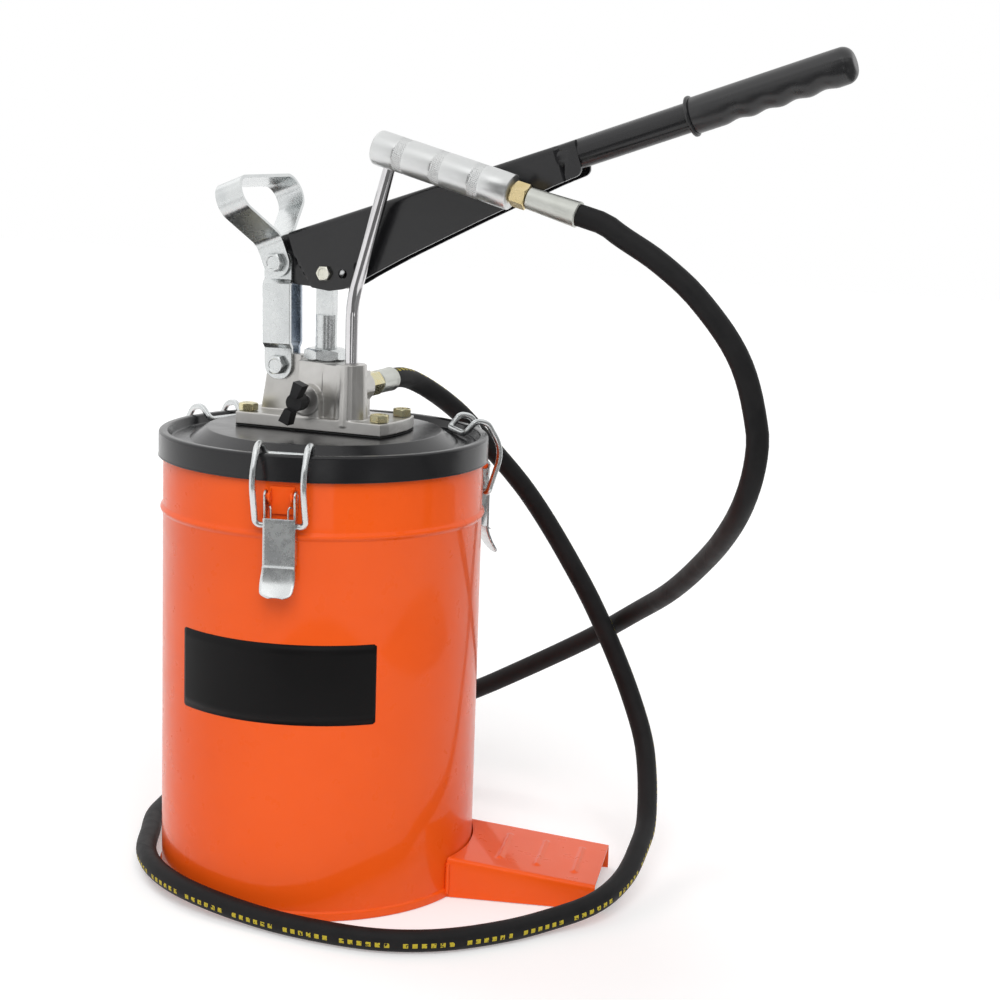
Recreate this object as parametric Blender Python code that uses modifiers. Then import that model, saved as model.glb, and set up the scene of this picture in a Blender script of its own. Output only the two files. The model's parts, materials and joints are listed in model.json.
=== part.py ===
"""Lever-operated bucket pump for gear oil: bucket, clamped lid, pump head, lever, hose and nozzle.

Metres, +Z up. The origin is the middle of the bucket's underside, and +X runs along the pump lever.
"""

from math import asin, atan2, cos, degrees, pi, radians, sin, sqrt

import bmesh
import bpy
from mathutils import Matrix, Vector

# Clearances
GAP = 0.0003
BOLT_PLAY = 0.0003

# Bucket
BUCKET_RADIUS = 0.120
BUCKET_HEIGHT = 0.338
BUCKET_WALL = 0.0012
BUCKET_FLOOR = 0.0015
RIM_ROLL = 0.0016
BEAD_BELOW_RIM = 0.054
BEAD_SIZE = 0.002
BASE_LIP = 0.0008
BASE_LIP_HEIGHT = 0.0055
ROUND_STEPS = 48

# Foot pedal
PEDAL_ANGLE = radians(13.0)
PEDAL_HALF_WIDTH = 0.047
PEDAL_REACH = 0.2235
PEDAL_HIGH = 0.0325
PEDAL_LOW = 0.0190
PEDAL_SHEET = 0.002
PEDAL_FOLD = 0.003
PEDAL_RIBS = 3
PEDAL_RIB_LENGTH = 0.056
PEDAL_RIB_WIDTH = 0.005
PEDAL_RIB_PROUD = 0.0011

# Lid
LID_SHEET = 0.0011
LID_PLAY = 0.0006
LID_SKIRT = 0.0187
LID_RISE = 0.0023
LID_CHANNEL_DEPTH = 0.0065
LID_CHANNEL_WIDTH = 0.0145
LID_PLATEAU_RADIUS = 0.088
GASKET_THICKNESS = 0.0022

# Pump head
FLANGE_LENGTH = 0.128
FLANGE_WIDTH = 0.058
FLANGE_BULGE = 0.004
FLANGE_THICKNESS = 0.009
HEAD_GASKET = 0.001
COLUMN_RADIUS = 0.0226
COLUMN_HEIGHT = 0.0492
COLUMN_TURN = radians(10)
LUG_THICKNESS = 0.008
LUG_EYE_RADIUS = 0.0105
SOCKET_X = 0.0293
SOCKET_Y = -0.0165
SOCKET_BOSS_RADIUS = 0.0118
SOCKET_DEPTH = 0.032
OUTLET_X = 0.027
OUTLET_DROP = 0.018
OUTLET_FACE_Y = 0.0065
OUTLET_BOSS_RADIUS = 0.0115
BLEED_X = -0.0023
BLEED_DROP = 0.0275
BLEED_FACE_Y = -0.0285
BLEED_BOSS_RADIUS = 0.0112
FLANGE_BOLT_END = 0.0095
FLANGE_BOLT_SIDE = 0.0095

# Fasteners
BOLT_RADIUS = 0.004
BOLT_FLATS = 0.013
BOLT_HEAD = 0.0055
NUT_HEIGHT = 0.0065
ROD_BOLT_RADIUS = 0.003
ROD_BOLT_FLATS = 0.010
ROD_BOLT_HEAD = 0.004
ROD_NUT_HEIGHT = 0.005
SPARE_HOLE_RADIUS = 0.0035

# Gland, cylinder and plunger
ROD_RADIUS = 0.008
ROD_PLAY = 0.0004
GLAND_FLATS = 0.0285
GLAND_HEIGHT = 0.0085
GLAND_THREAD_RADIUS = 0.0125
GLAND_THREAD_LENGTH = 0.0085
PACKING_HEIGHT = 0.006
PACKING_SEAT = 0.004
CYLINDER_RADIUS = 0.0215
CYLINDER_WALL = 0.0025
CYLINDER_SOCKET = 0.006
CYLINDER_BOTTOM = 0.020
VALVE_TOP = 0.034
VALVE_BOTTOM = 0.012
VALVE_PORT = 0.007
VALVE_BALL_RADIUS = 0.008
STRAINER_BOTTOM = 0.004
PISTON_TOP = 0.102
PISTON_HEIGHT = 0.018
PISTON_CUP_HEIGHT = 0.008
PISTON_STUD_RADIUS = 0.006
PISTON_PLAY = 0.0004

# Link, lever and the three pivots of the linkage, in the plane of the lever
LINK_PIVOT_X = -0.0366
LINK_PIVOT_DROP = 0.0055
LINK_LENGTH = 0.0765
LINK_LEAN = -0.0012
LINK_WIDTH = 0.023
LINK_SHEET = 0.003
LINK_JOGGLE = 0.003
ROD_PIVOT_X = 0.0032
ROD_PIVOT_DROP = 0.0057
ROD_EYE_RADIUS = 0.0048
ROD_HEAD_RADIUS = 0.0105
ROD_TONGUE_THICKNESS = 0.008
ROD_TONGUE_HALF_WIDTH = 0.007
ROD_TONGUE_LENGTH = 0.0315
LEVER_HALF_WIDTH = 0.0106
LEVER_PINCHED = 0.0041
LEVER_SHEET = 0.0024
LEVER_SLOPE = radians(18.7)
LEVER_CHANNEL_END = 0.2500
LEVER_TUBE_RADIUS = 0.0104
LEVER_TUBE_WALL = 0.002
LEVER_TUBE_TILT = radians(0.55)
LEVER_TUBE_START = 0.205
LEVER_TUBE_END = 0.405
GRIP_START = 0.3320
GRIP_END = 0.4500
GRIP_RADIUS = 0.0127
GRIP_COLLAR = 0.0020
GRIP_GROOVES = 4
GRIP_GROOVE_DEPTH = 0.0016

# Carry handle
CARRY_WIDTH = 0.022
CARRY_SHEET = 0.0025
CARRY_LEAN = radians(22)
CARRY_THROAT = 0.0175
CARRY_TOP = 0.0635
CARRY_HALF_WIDTH = 0.046
CARRY_CORNER = 0.013

# Hose, ferrules and nozzle
HOSE_RADIUS = 0.0078
FERRULE_RADIUS = 0.0092
PUMP_FERRULE = 0.0270
NOZZLE_FERRULE = 0.0392
NIPPLE_FLATS = 0.017
NIPPLE_HEX = 0.0215
NIPPLE_THREAD_RADIUS = 0.0062
NIPPLE_THREAD_LENGTH = 0.012
SPOUT_RADIUS = 0.0048
SPOUT_BEND_RISE = 0.0470
NOZZLE_ENTRY = Vector((0.0650, -0.0273, 0.5505))
NOZZLE_AXIS = Vector((1.0, -0.020, -0.261)).normalized()
NOZZLE_BEHIND = 0.0140
NOZZLE_LENGTH = 0.1096
NOZZLE_RADIUS = 0.0127
ADAPTOR_FLATS = 0.0160
ADAPTOR_NECK = 0.0010
ADAPTOR_HEX = 0.0115
HOSE_STEP = 0.030

# Bleed screw
BLEED_STEM_RADIUS = 0.0036
BLEED_STEM_INSIDE = 0.014
BLEED_NECK = 0.006
KNOB_LENGTH = 0.013
KNOB_HUB_RADIUS = 0.0066
KNOB_SPAN = 0.032
KNOB_WING = 0.0085
KNOB_TILT = radians(68)

# Toggle latches, in a frame of distance from the bucket's axis, sideways and height
LATCH_COUNT = 3
LATCH_FIRST = radians(-76.6)
LATCH_OUT = 0.0055
LATCH_PIVOT_BELOW_RIM = 0.025
LATCH_THROW = 0.0205
LATCH_PLATE_HALF_WIDTH = 0.0117
LATCH_SHEET = 0.0015
LATCH_WEB_OUT = 0.0086
LATCH_PLATE_LENGTH = 0.049
LATCH_LIP_LENGTH = 0.0205
LATCH_LIP_FLARE = 0.0095
LATCH_PIN_RADIUS = 0.0022
LATCH_EAR_RADIUS = 0.0046
LATCH_BASE_HALF_WIDTH = 0.009
WIRE_RADIUS = 0.002
WIRE_HALF_WIDTH = 0.0182
WIRE_KNEE_OUT = 0.0170
WIRE_KNEE_RISE = 0.0335
WIRE_HOOK_ABOVE_RIM = 0.0070
WIRE_BAR_INSET = 0.0173
WIRE_BAR_ABOVE_CHANNEL = 0.0037

# Levels and places worked out from the sizes above
BEAD_HEIGHT = BUCKET_HEIGHT - BEAD_BELOW_RIM
LID_TOP = BUCKET_HEIGHT + GASKET_THICKNESS + 2 * GAP + LID_SHEET + 0.0001
LID_RADIUS = BUCKET_RADIUS + RIM_ROLL + LID_PLAY + LID_SHEET
LID_PLATEAU = LID_TOP + LID_RISE
LID_CHANNEL = LID_TOP - LID_CHANNEL_DEPTH
LID_PLUG_RADIUS = BUCKET_RADIUS - BUCKET_WALL - LID_PLAY - LID_SHEET
FLANGE_BOLT_X = FLANGE_LENGTH / 2 - FLANGE_BOLT_END
FLANGE_BOLT_Y = FLANGE_WIDTH / 2 - FLANGE_BOLT_SIDE
FLANGE_BOTTOM = LID_PLATEAU + HEAD_GASKET + 2 * GAP
FLANGE_TOP = FLANGE_BOTTOM + FLANGE_THICKNESS
COLUMN_TOP = FLANGE_BOTTOM + COLUMN_HEIGHT
HEAD_HOLE_RADIUS = CYLINDER_RADIUS + 0.002
GLAND_BORE = GLAND_THREAD_RADIUS + GAP
PACKING_TOP = COLUMN_TOP - GLAND_THREAD_LENGTH - GAP
PACKING_BOTTOM = PACKING_TOP - PACKING_HEIGHT
CHAMBER_TOP = PACKING_BOTTOM - GAP - PACKING_SEAT
CYLINDER_TOP = FLANGE_BOTTOM + CYLINDER_SOCKET - GAP
CYLINDER_BORE = CYLINDER_RADIUS - CYLINDER_WALL
OUTLET_Z = COLUMN_TOP - OUTLET_DROP
BLEED_Z = COLUMN_TOP - BLEED_DROP
LINK_PIVOT = Vector((LINK_PIVOT_X, 0.0, COLUMN_TOP - LINK_PIVOT_DROP))
LEVER_PIVOT = LINK_PIVOT + Vector((LINK_LEAN, 0.0, LINK_LENGTH))
ROD_PIVOT = Vector((ROD_PIVOT_X, 0.0, LEVER_PIVOT.z - ROD_PIVOT_DROP))
LINK_INNER = LUG_THICKNESS / 2 + GAP
LINK_OUTER = LINK_INNER + LINK_SHEET
CARRY_OUTER = LINK_OUTER + GAP + CARRY_SHEET
BOLT_HOLE = BOLT_RADIUS + BOLT_PLAY
LATCH_PIVOT_OUT = BUCKET_RADIUS + LATCH_OUT
LATCH_PIVOT_Z = BUCKET_HEIGHT - LATCH_PIVOT_BELOW_RIM
WIRE_PIVOT_OUT = LATCH_PIVOT_OUT + 0.0005
WIRE_PIVOT_Z = LATCH_PIVOT_Z - LATCH_THROW
LEVER_ALONG = Vector((cos(LEVER_SLOPE), 0.0, sin(LEVER_SLOPE)))
LEVER_ACROSS = Vector((-sin(LEVER_SLOPE), 0.0, cos(LEVER_SLOPE)))

# The hose leaves the outlet to the rear, hangs to the floor, goes round the front of the bucket
# and behind it, and rises to the nozzle
HOSE_ROUTE = [
    (0.0290, 0.1040, 0.3690),
    (0.0446, 0.1420, 0.3455),
    (0.0588, 0.1620, 0.3225),
    (0.0975, 0.1800, 0.2734),
    (0.1435, 0.1827, 0.2072),
    (0.1717, 0.1788, 0.1611),
    (0.1968, 0.1694, 0.1162),
    (0.2153, 0.1520, 0.0816),
    (0.2347, 0.1030, 0.0423),
    (0.2417, 0.0629, 0.0310),
    (0.2439, 0.0209, 0.0215),
    (0.2359, -0.0201, 0.0156),
    (0.2115, -0.0526, 0.0097),
    (0.1891, -0.0842, 0.0086),
    (0.1569, -0.1167, 0.0086),
    (0.1194, -0.1352, 0.0086),
    (0.0742, -0.1405, 0.0086),
    (0.0245, -0.1375, 0.0090),
    (-0.0340, -0.1280, 0.0130),
    (-0.0760, -0.1075, 0.0145),
    (-0.1085, -0.0745, 0.0140),
    (-0.1350, -0.0270, 0.0110),
    (-0.1600, 0.0280, 0.0086),
    (-0.1660, 0.1000, 0.0087),
    (-0.1130, 0.1920, 0.0125),
    (-0.0500, 0.2240, 0.0370),
    (0.0060, 0.2340, 0.0720),
    (0.0546, 0.2300, 0.0989),
    (0.1392, 0.2120, 0.1494),
    (0.1903, 0.1840, 0.1849),
    (0.2373, 0.1300, 0.2197),
    (0.2841, 0.0600, 0.2627),
    (0.3163, 0.0040, 0.2977),
    (0.3353, -0.0280, 0.3268),
    (0.3441, -0.0400, 0.3535),
    (0.3449, -0.0430, 0.3778),
    (0.3306, -0.0430, 0.4230),
    (0.3004, -0.0415, 0.4610),
    (0.2703, -0.0390, 0.4845),
    (0.2406, -0.0335, 0.5002),
]


def new_collection(name):
    group = bpy.data.collections.new(name)
    bpy.context.scene.collection.children.link(group)
    return group


def finish(name, colour, roughness, metallic=0.0):
    """A Principled material of one colour."""
    material = bpy.data.materials.new(name)
    material.use_nodes = True
    shader = material.node_tree.nodes["Principled BSDF"]
    shader.inputs["Base Color"].default_value = (*colour, 1.0)
    shader.inputs["Roughness"].default_value = roughness
    shader.inputs["Metallic"].default_value = metallic
    material.diffuse_color = (*colour, 1.0)
    return material


for scene_object in list(bpy.data.objects):
    bpy.data.objects.remove(scene_object, do_unlink=True)

PARTS = new_collection("gear_oil_pump")
CUTTERS = new_collection("cutters")

ORANGE = finish("orange_paint", (0.83, 0.105, 0.018), 0.3)
BLACK_PAINT = finish("black_paint", (0.017, 0.017, 0.018), 0.42)
CAST = finish("cast_aluminium", (0.58, 0.57, 0.55), 0.42, 1.0)
MACHINED = finish("machined_aluminium", (0.78, 0.79, 0.80), 0.3, 1.0)
ZINC = finish("bright_zinc", (0.68, 0.70, 0.72), 0.3, 1.0)
YELLOW_ZINC = finish("yellow_zinc", (0.66, 0.56, 0.28), 0.34, 1.0)
CHROME = finish("chrome", (0.80, 0.80, 0.81), 0.08, 1.0)
STEEL = finish("turned_steel", (0.60, 0.60, 0.61), 0.32, 1.0)
BRASS = finish("brass", (0.72, 0.55, 0.25), 0.3, 1.0)
RUBBER = finish("hose_rubber", (0.018, 0.018, 0.019), 0.62)
GRIP_PLASTIC = finish("grip_plastic", (0.020, 0.020, 0.022), 0.5)
KNOB_PLASTIC = finish("knob_plastic", (0.012, 0.012, 0.013), 0.45)
SEAL = finish("seal_rubber", (0.02, 0.02, 0.02), 0.7)


def pivot(name, place):
    """An empty on a joint's axis, which carries the pieces that move on it."""
    empty = bpy.data.objects.new(name, None)
    empty.empty_display_size = 0.02
    empty.location = place
    PARTS.objects.link(empty)
    return empty


def carried(obj, carrier):
    """Parents a piece to an empty and leaves it where it is."""
    if carrier is not None:
        obj.parent = carrier
        obj.matrix_parent_inverse = Matrix.Translation(carrier.location).inverted()
    return obj


def part(name, mesh, material, carrier=None, turn=0.0):
    """A named piece; turn is its angle about the bucket's axis."""
    obj = bpy.data.objects.new(name, mesh)
    PARTS.objects.link(obj)
    if not mesh.materials:
        mesh.materials.append(material)
    mesh.shade_smooth()
    mesh.set_sharp_from_angle(angle=radians(35))
    obj.rotation_euler.z = turn
    return carried(obj, carrier)


def helper(name, mesh, turn=0.0):
    """A shape that cuts or joins a piece and isn't one itself."""
    obj = bpy.data.objects.new(name, mesh)
    CUTTERS.objects.link(obj)
    obj.rotation_euler.z = turn
    obj.hide_render = True
    obj.display_type = "WIRE"
    return obj


def combine(target, operation, others):
    for other in others:
        modifier = target.modifiers.new(operation.lower(), "BOOLEAN")
        modifier.operation = operation
        modifier.object = other


def cut(target, *others):
    combine(target, "DIFFERENCE", others)


def join(target, *others):
    combine(target, "UNION", others)


def baked(obj):
    """The piece's finished mesh, with its modifiers and place applied; the object goes."""
    bpy.context.view_layer.update()
    graph = bpy.context.evaluated_depsgraph_get()
    mesh = bpy.data.meshes.new_from_object(obj.evaluated_get(graph))
    mesh.transform(obj.matrix_world)
    work = bmesh.new()
    work.from_mesh(mesh)
    bmesh.ops.remove_doubles(work, verts=work.verts, dist=1e-6)
    work.to_mesh(mesh)
    work.free()
    bpy.data.objects.remove(obj, do_unlink=True)
    return mesh


def cylinder(start, end, radius, sides=24, end_radius=None, spin=0.0):
    """A cylinder or cone between two points, turned about its own axis by spin."""
    start = Vector(start)
    end = Vector(end)
    axis = end - start
    mesh = bpy.data.meshes.new("cylinder")
    work = bmesh.new()
    bmesh.ops.create_cone(
        work,
        cap_ends=True,
        segments=sides,
        radius1=radius,
        radius2=radius if end_radius is None else end_radius,
        depth=axis.length,
    )
    turn = axis.to_track_quat("Z", "Y").to_matrix().to_4x4()
    work.transform(Matrix.Translation((start + end) / 2) @ turn @ Matrix.Rotation(spin, 4, "Z"))
    work.to_mesh(mesh)
    work.free()
    return mesh


def hexagon(start, end, flats, spin=0.0):
    return cylinder(start, end, flats / sqrt(3), sides=6, spin=spin)


def box(low, high):
    low = Vector(low)
    high = Vector(high)
    size = high - low
    mesh = bpy.data.meshes.new("box")
    work = bmesh.new()
    bmesh.ops.create_cube(work, size=1.0)
    work.transform(Matrix.Translation((low + high) / 2) @ Matrix.Diagonal((*size, 1.0)))
    work.to_mesh(mesh)
    work.free()
    return mesh


def turned(name, profile, material, closed=False, steps=ROUND_STEPS, carrier=None, place=None, axis=None):
    """A turned piece: the profile holds (radius, height) points and runs down its outer side."""
    mesh = bpy.data.meshes.new(name)
    edges = [(i, i + 1) for i in range(len(profile) - 1)]
    if closed:
        edges.append((len(profile) - 1, 0))
    mesh.from_pydata([(radius, 0.0, height) for radius, height in profile], edges, [])
    obj = bpy.data.objects.new(name, mesh)
    PARTS.objects.link(obj)
    mesh.materials.append(material)
    screw = obj.modifiers.new("turn", "SCREW")
    screw.steps = steps
    screw.render_steps = steps
    screw.use_merge_vertices = True
    screw.merge_threshold = 1e-5
    if place is not None:
        obj.location = place
    if axis is not None:
        obj.rotation_mode = "QUATERNION"
        obj.rotation_quaternion = Vector(axis).to_track_quat("Z", "Y")
    return carried(obj, carrier)


def ring(name, inner, outer, bottom, top, material, steps=24, carrier=None):
    profile = [(inner, top), (outer, top), (outer, bottom), (inner, bottom)]
    return turned(name, profile, material, closed=True, steps=steps, carrier=carrier)


def arc(centre, radius, start, end, count):
    """Points of an arc in a plane, both ends included; angles in degrees."""
    points = []
    for i in range(count + 1):
        angle = radians(start + (end - start) * i / count)
        points.append((centre[0] + radius * cos(angle), centre[1] + radius * sin(angle)))
    return points


def plate(outlines, thickness, frame):
    """A flat plate, outlines in its own plane and its middle on that plane; inner outlines are holes."""
    curve = bpy.data.curves.new("outline", "CURVE")
    curve.dimensions = "2D"
    curve.fill_mode = "BOTH"
    curve.extrude = thickness / 2
    for outline in outlines:
        spline = curve.splines.new("POLY")
        spline.points.add(len(outline) - 1)
        for point, (across, up) in zip(spline.points, outline):
            point.co = (across, up, 0.0, 1.0)
        spline.use_cyclic_u = True
    obj = bpy.data.objects.new("outline", curve)
    CUTTERS.objects.link(obj)
    obj.matrix_world = frame
    return baked(obj)


def lever_plane(across=0.0):
    """The frame of a plate that stands in the X-Z plane at this Y."""
    return Matrix.Translation((0.0, across, 0.0)) @ Matrix.Rotation(pi / 2, 4, "X")


def sheet(rows):
    """An open surface from rows of points."""
    count = len(rows[0])
    verts = [point for row in rows for point in row]
    faces = []
    for i in range(len(rows) - 1):
        for j in range(count - 1):
            first = i * count + j
            faces.append((first, first + count, first + count + 1, first + 1))
    mesh = bpy.data.meshes.new("sheet")
    mesh.from_pydata(verts, [], faces)
    return mesh


def thicken(obj, thickness, offset):
    solidify = obj.modifiers.new("sheet", "SOLIDIFY")
    solidify.thickness = thickness
    solidify.offset = offset
    solidify.use_even_offset = True


def loft(rings):
    """A closed body through rings of equally many points, capped at both ends."""
    count = len(rings[0])
    verts = [point for one in rings for point in one]
    faces = [tuple(reversed(range(count)))]
    for i in range(len(rings) - 1):
        for j in range(count):
            nxt = (j + 1) % count
            faces.append((i * count + j, i * count + nxt, (i + 1) * count + nxt, (i + 1) * count + j))
    last = (len(rings) - 1) * count
    faces.append(tuple(range(last, last + count)))
    mesh = bpy.data.meshes.new("loft")
    mesh.from_pydata(verts, [], faces)
    return mesh


def rounded(points, radius, steps=4):
    """A path with its inner corners rounded."""
    points = [Vector(point).to_3d() for point in points]
    path = [points[0]]
    for before, corner, after in zip(points, points[1:], points[2:]):
        back = (before - corner).normalized()
        forward = (after - corner).normalized()
        half = back.angle(forward) / 2
        reach = radius * cos(half) / sin(half)
        middle = corner + (back + forward).normalized() * radius / sin(half)
        start = corner + back * reach - middle
        end = corner + forward * reach - middle
        for i in range(steps + 1):
            path.append(middle + start.slerp(end, i / steps) * radius)
    path.append(points[-1])
    return path


def rod_along(name, points, radius, material, carrier=None, turn=0.0, sides_level=2):
    """A round bar, wire or hose along a path."""
    curve = bpy.data.curves.new(name, "CURVE")
    curve.dimensions = "3D"
    curve.bevel_depth = radius
    curve.bevel_resolution = sides_level
    curve.use_fill_caps = True
    spline = curve.splines.new("POLY")
    spline.points.add(len(points) - 1)
    for point, place in zip(spline.points, points):
        point.co = (*place, 1.0)
    obj = bpy.data.objects.new(name, curve)
    PARTS.objects.link(obj)
    curve.materials.append(material)
    obj.rotation_euler.z = turn
    return carried(obj, carrier)


def smooth_path(route, step, first_slope, last_slope):
    """Evenly placed points on a smooth curve through the route's points."""
    points = [Vector(point) for point in route]
    slopes = [first_slope]
    for before, after in zip(points, points[2:]):
        slopes.append((after - before).normalized())
    slopes.append(last_slope)
    fine = [points[0]]
    for i in range(len(points) - 1):
        span = (points[i + 1] - points[i]).length
        for k in range(1, 17):
            t = k / 16
            fine.append(
                points[i] * (2 * t**3 - 3 * t**2 + 1)
                + slopes[i] * span * (t**3 - 2 * t**2 + t)
                + points[i + 1] * (3 * t**2 - 2 * t**3)
                + slopes[i + 1] * span * (t**3 - t**2)
            )
    lengths = [0.0]
    for first, second in zip(fine, fine[1:]):
        lengths.append(lengths[-1] + (second - first).length)
    count = round(lengths[-1] / step)
    path = []
    index = 0
    for k in range(count + 1):
        wanted = lengths[-1] * k / count
        while index < len(fine) - 2 and lengths[index + 1] < wanted:
            index += 1
        share = (wanted - lengths[index]) / (lengths[index + 1] - lengths[index])
        path.append(fine[index].lerp(fine[index + 1], share))
    return path


def bolt(name, seat, direction, length, material, carrier=None, rod=False):
    """A hex bolt: seat is under its head, and direction points from the head to the end."""
    seat = Vector(seat)
    direction = Vector(direction)
    flats = ROD_BOLT_FLATS if rod else BOLT_FLATS
    radius = ROD_BOLT_RADIUS if rod else BOLT_RADIUS
    head = direction * (ROD_BOLT_HEAD if rod else BOLT_HEAD)
    spin = pi / 6 * abs(direction.y)
    obj = part(name, hexagon(seat - head, seat, flats, spin), material, carrier)
    shank = cylinder(seat - head / 2, seat + direction * length, radius, sides=16)
    join(obj, helper(name + "_shank", shank))
    return obj


def nut(name, seat, direction, material, carrier=None, rod=False):
    """A hex nut that starts at seat and reaches along direction."""
    seat = Vector(seat)
    direction = Vector(direction)
    flats = ROD_BOLT_FLATS if rod else BOLT_FLATS
    radius = ROD_BOLT_RADIUS if rod else BOLT_RADIUS
    height = ROD_NUT_HEIGHT if rod else NUT_HEIGHT
    spin = pi / 6 * abs(direction.y)
    obj = part(name, hexagon(seat, seat + direction * height, flats, spin), material, carrier)
    past = direction * 0.002
    hole = cylinder(seat - past, seat + direction * height + past, radius + BOLT_PLAY, sides=16)
    cut(obj, helper(name + "_hole", hole))
    return obj


def cross_hole(name, place, reach, radius=BOLT_HOLE):
    """A cutter for a bolt hole along Y."""
    place = Vector(place)
    along = Vector((0.0, reach, 0.0))
    return helper(name, cylinder(place - along, place + along, radius, sides=16))


def make_bucket():
    radius = BUCKET_RADIUS
    inside = radius - BUCKET_WALL
    roll = radius + RIM_ROLL
    lip = radius + BASE_LIP
    profile = [
        (0.0, BUCKET_FLOOR),
        (inside, BUCKET_FLOOR),
        (inside, BUCKET_HEIGHT),
        (roll - 0.0005, BUCKET_HEIGHT),
        (roll, BUCKET_HEIGHT - 0.001),
        (roll, BUCKET_HEIGHT - 0.0045),
        (radius, BUCKET_HEIGHT - 0.006),
    ]
    for out, up in arc((0.0, 0.0), 1.0, 90, -90, 4):
        profile.append((radius + BEAD_SIZE * out, BEAD_HEIGHT + 1.4 * BEAD_SIZE * up))
    profile += [
        (radius, BASE_LIP_HEIGHT + BASE_LIP),
        (lip, BASE_LIP_HEIGHT),
        (lip, 0.0),
        (0.0, 0.0),
    ]
    return turned("bucket", profile, ORANGE)


def make_pedal():
    """A folded step whose inner end follows the bucket's wall."""
    low = 0.0004
    start = BUCKET_RADIUS - 0.02
    slope = (PEDAL_LOW - PEDAL_HIGH) / (PEDAL_REACH - start)
    half = PEDAL_HALF_WIDTH
    rows = []
    for along in (start, PEDAL_REACH):
        top = PEDAL_HIGH + slope * (along - start)
        section = [
            (-half, low),
            (-half, top - PEDAL_FOLD),
            (-half + 0.3 * PEDAL_FOLD, top - 0.3 * PEDAL_FOLD),
            (-half + PEDAL_FOLD, top),
        ]
        section += [(-across, up) for across, up in reversed(section)]
        rows.append([(along, across, up) for across, up in section])
    obj = part("foot_pedal", sheet(rows), ORANGE, turn=PEDAL_ANGLE)
    thicken(obj, PEDAL_SHEET, -1.0)
    clear = BUCKET_RADIUS + BASE_LIP + GAP
    wall = cylinder((0.0, 0.0, -0.01), (0.0, 0.0, 3 * PEDAL_HIGH), clear, sides=2 * ROUND_STEPS)
    cut(obj, helper("pedal_end", wall))
    pitch = (PEDAL_REACH - clear) / (PEDAL_RIBS + 0.6)
    for i in range(PEDAL_RIBS):
        along = PEDAL_REACH - pitch * (i + 0.65)
        top = PEDAL_HIGH + slope * (along - start)
        rib = box(
            (along - PEDAL_RIB_WIDTH / 2, -PEDAL_RIB_LENGTH / 2, top - PEDAL_SHEET / 2),
            (along + PEDAL_RIB_WIDTH / 2, PEDAL_RIB_LENGTH / 2, top + PEDAL_RIB_PROUD),
        )
        join(obj, helper(f"pedal_rib_{i + 1}", rib, turn=PEDAL_ANGLE))
    return obj


def lid_profile():
    plug = LID_PLUG_RADIUS
    wall = plug - 0.0022
    return [
        (HEAD_HOLE_RADIUS, LID_PLATEAU),
        (LID_PLATEAU_RADIUS, LID_PLATEAU),
        (wall - LID_CHANNEL_WIDTH, LID_CHANNEL),
        (wall - 0.0025, LID_CHANNEL),
        (wall - 0.0004, LID_CHANNEL + 0.0015),
        (plug - 0.0006, LID_TOP - 0.0012),
        (plug + 0.0012, LID_TOP),
        (LID_RADIUS - 0.0016, LID_TOP),
        (LID_RADIUS, LID_TOP - 0.0018),
        (LID_RADIUS, LID_TOP - LID_SKIRT + 0.001),
        (LID_RADIUS + 0.0004, LID_TOP - LID_SKIRT),
    ]


def flange_places():
    places = []
    for x in (-FLANGE_BOLT_X, FLANGE_BOLT_X):
        for y in (-FLANGE_BOLT_Y, FLANGE_BOLT_Y):
            places.append((x, y))
    return places


def make_lid():
    lid = turned("lid", lid_profile(), BLACK_PAINT)
    thicken(lid, LID_SHEET, -1.0)
    for i, (x, y) in enumerate(flange_places()):
        hole = cylinder((x, y, LID_PLATEAU - 0.01), (x, y, LID_PLATEAU + 0.01), BOLT_HOLE, sides=16)
        cut(lid, helper(f"lid_hole_{i + 1}", hole))
    bottom = BUCKET_HEIGHT + GAP
    inner = BUCKET_RADIUS - BUCKET_WALL + GAP
    outer = BUCKET_RADIUS + RIM_ROLL - GAP
    ring("lid_gasket", inner, outer, bottom, bottom + GASKET_THICKNESS, SEAL, steps=ROUND_STEPS)


def flange_outline():
    """A rectangle with bulging ends."""
    half = FLANGE_WIDTH / 2
    end = FLANGE_LENGTH / 2 - FLANGE_BULGE
    outline = []
    for side in (1, -1):
        for i in range(7):
            share = 1 - i / 3 if side == -1 else i / 3 - 1
            outline.append((side * (end + FLANGE_BULGE * (1 - share * share)), half * share))
    return outline


def circle(centre, radius, count=16):
    return arc(centre, radius, 0, 360 - 360 / count, count - 1)


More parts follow.
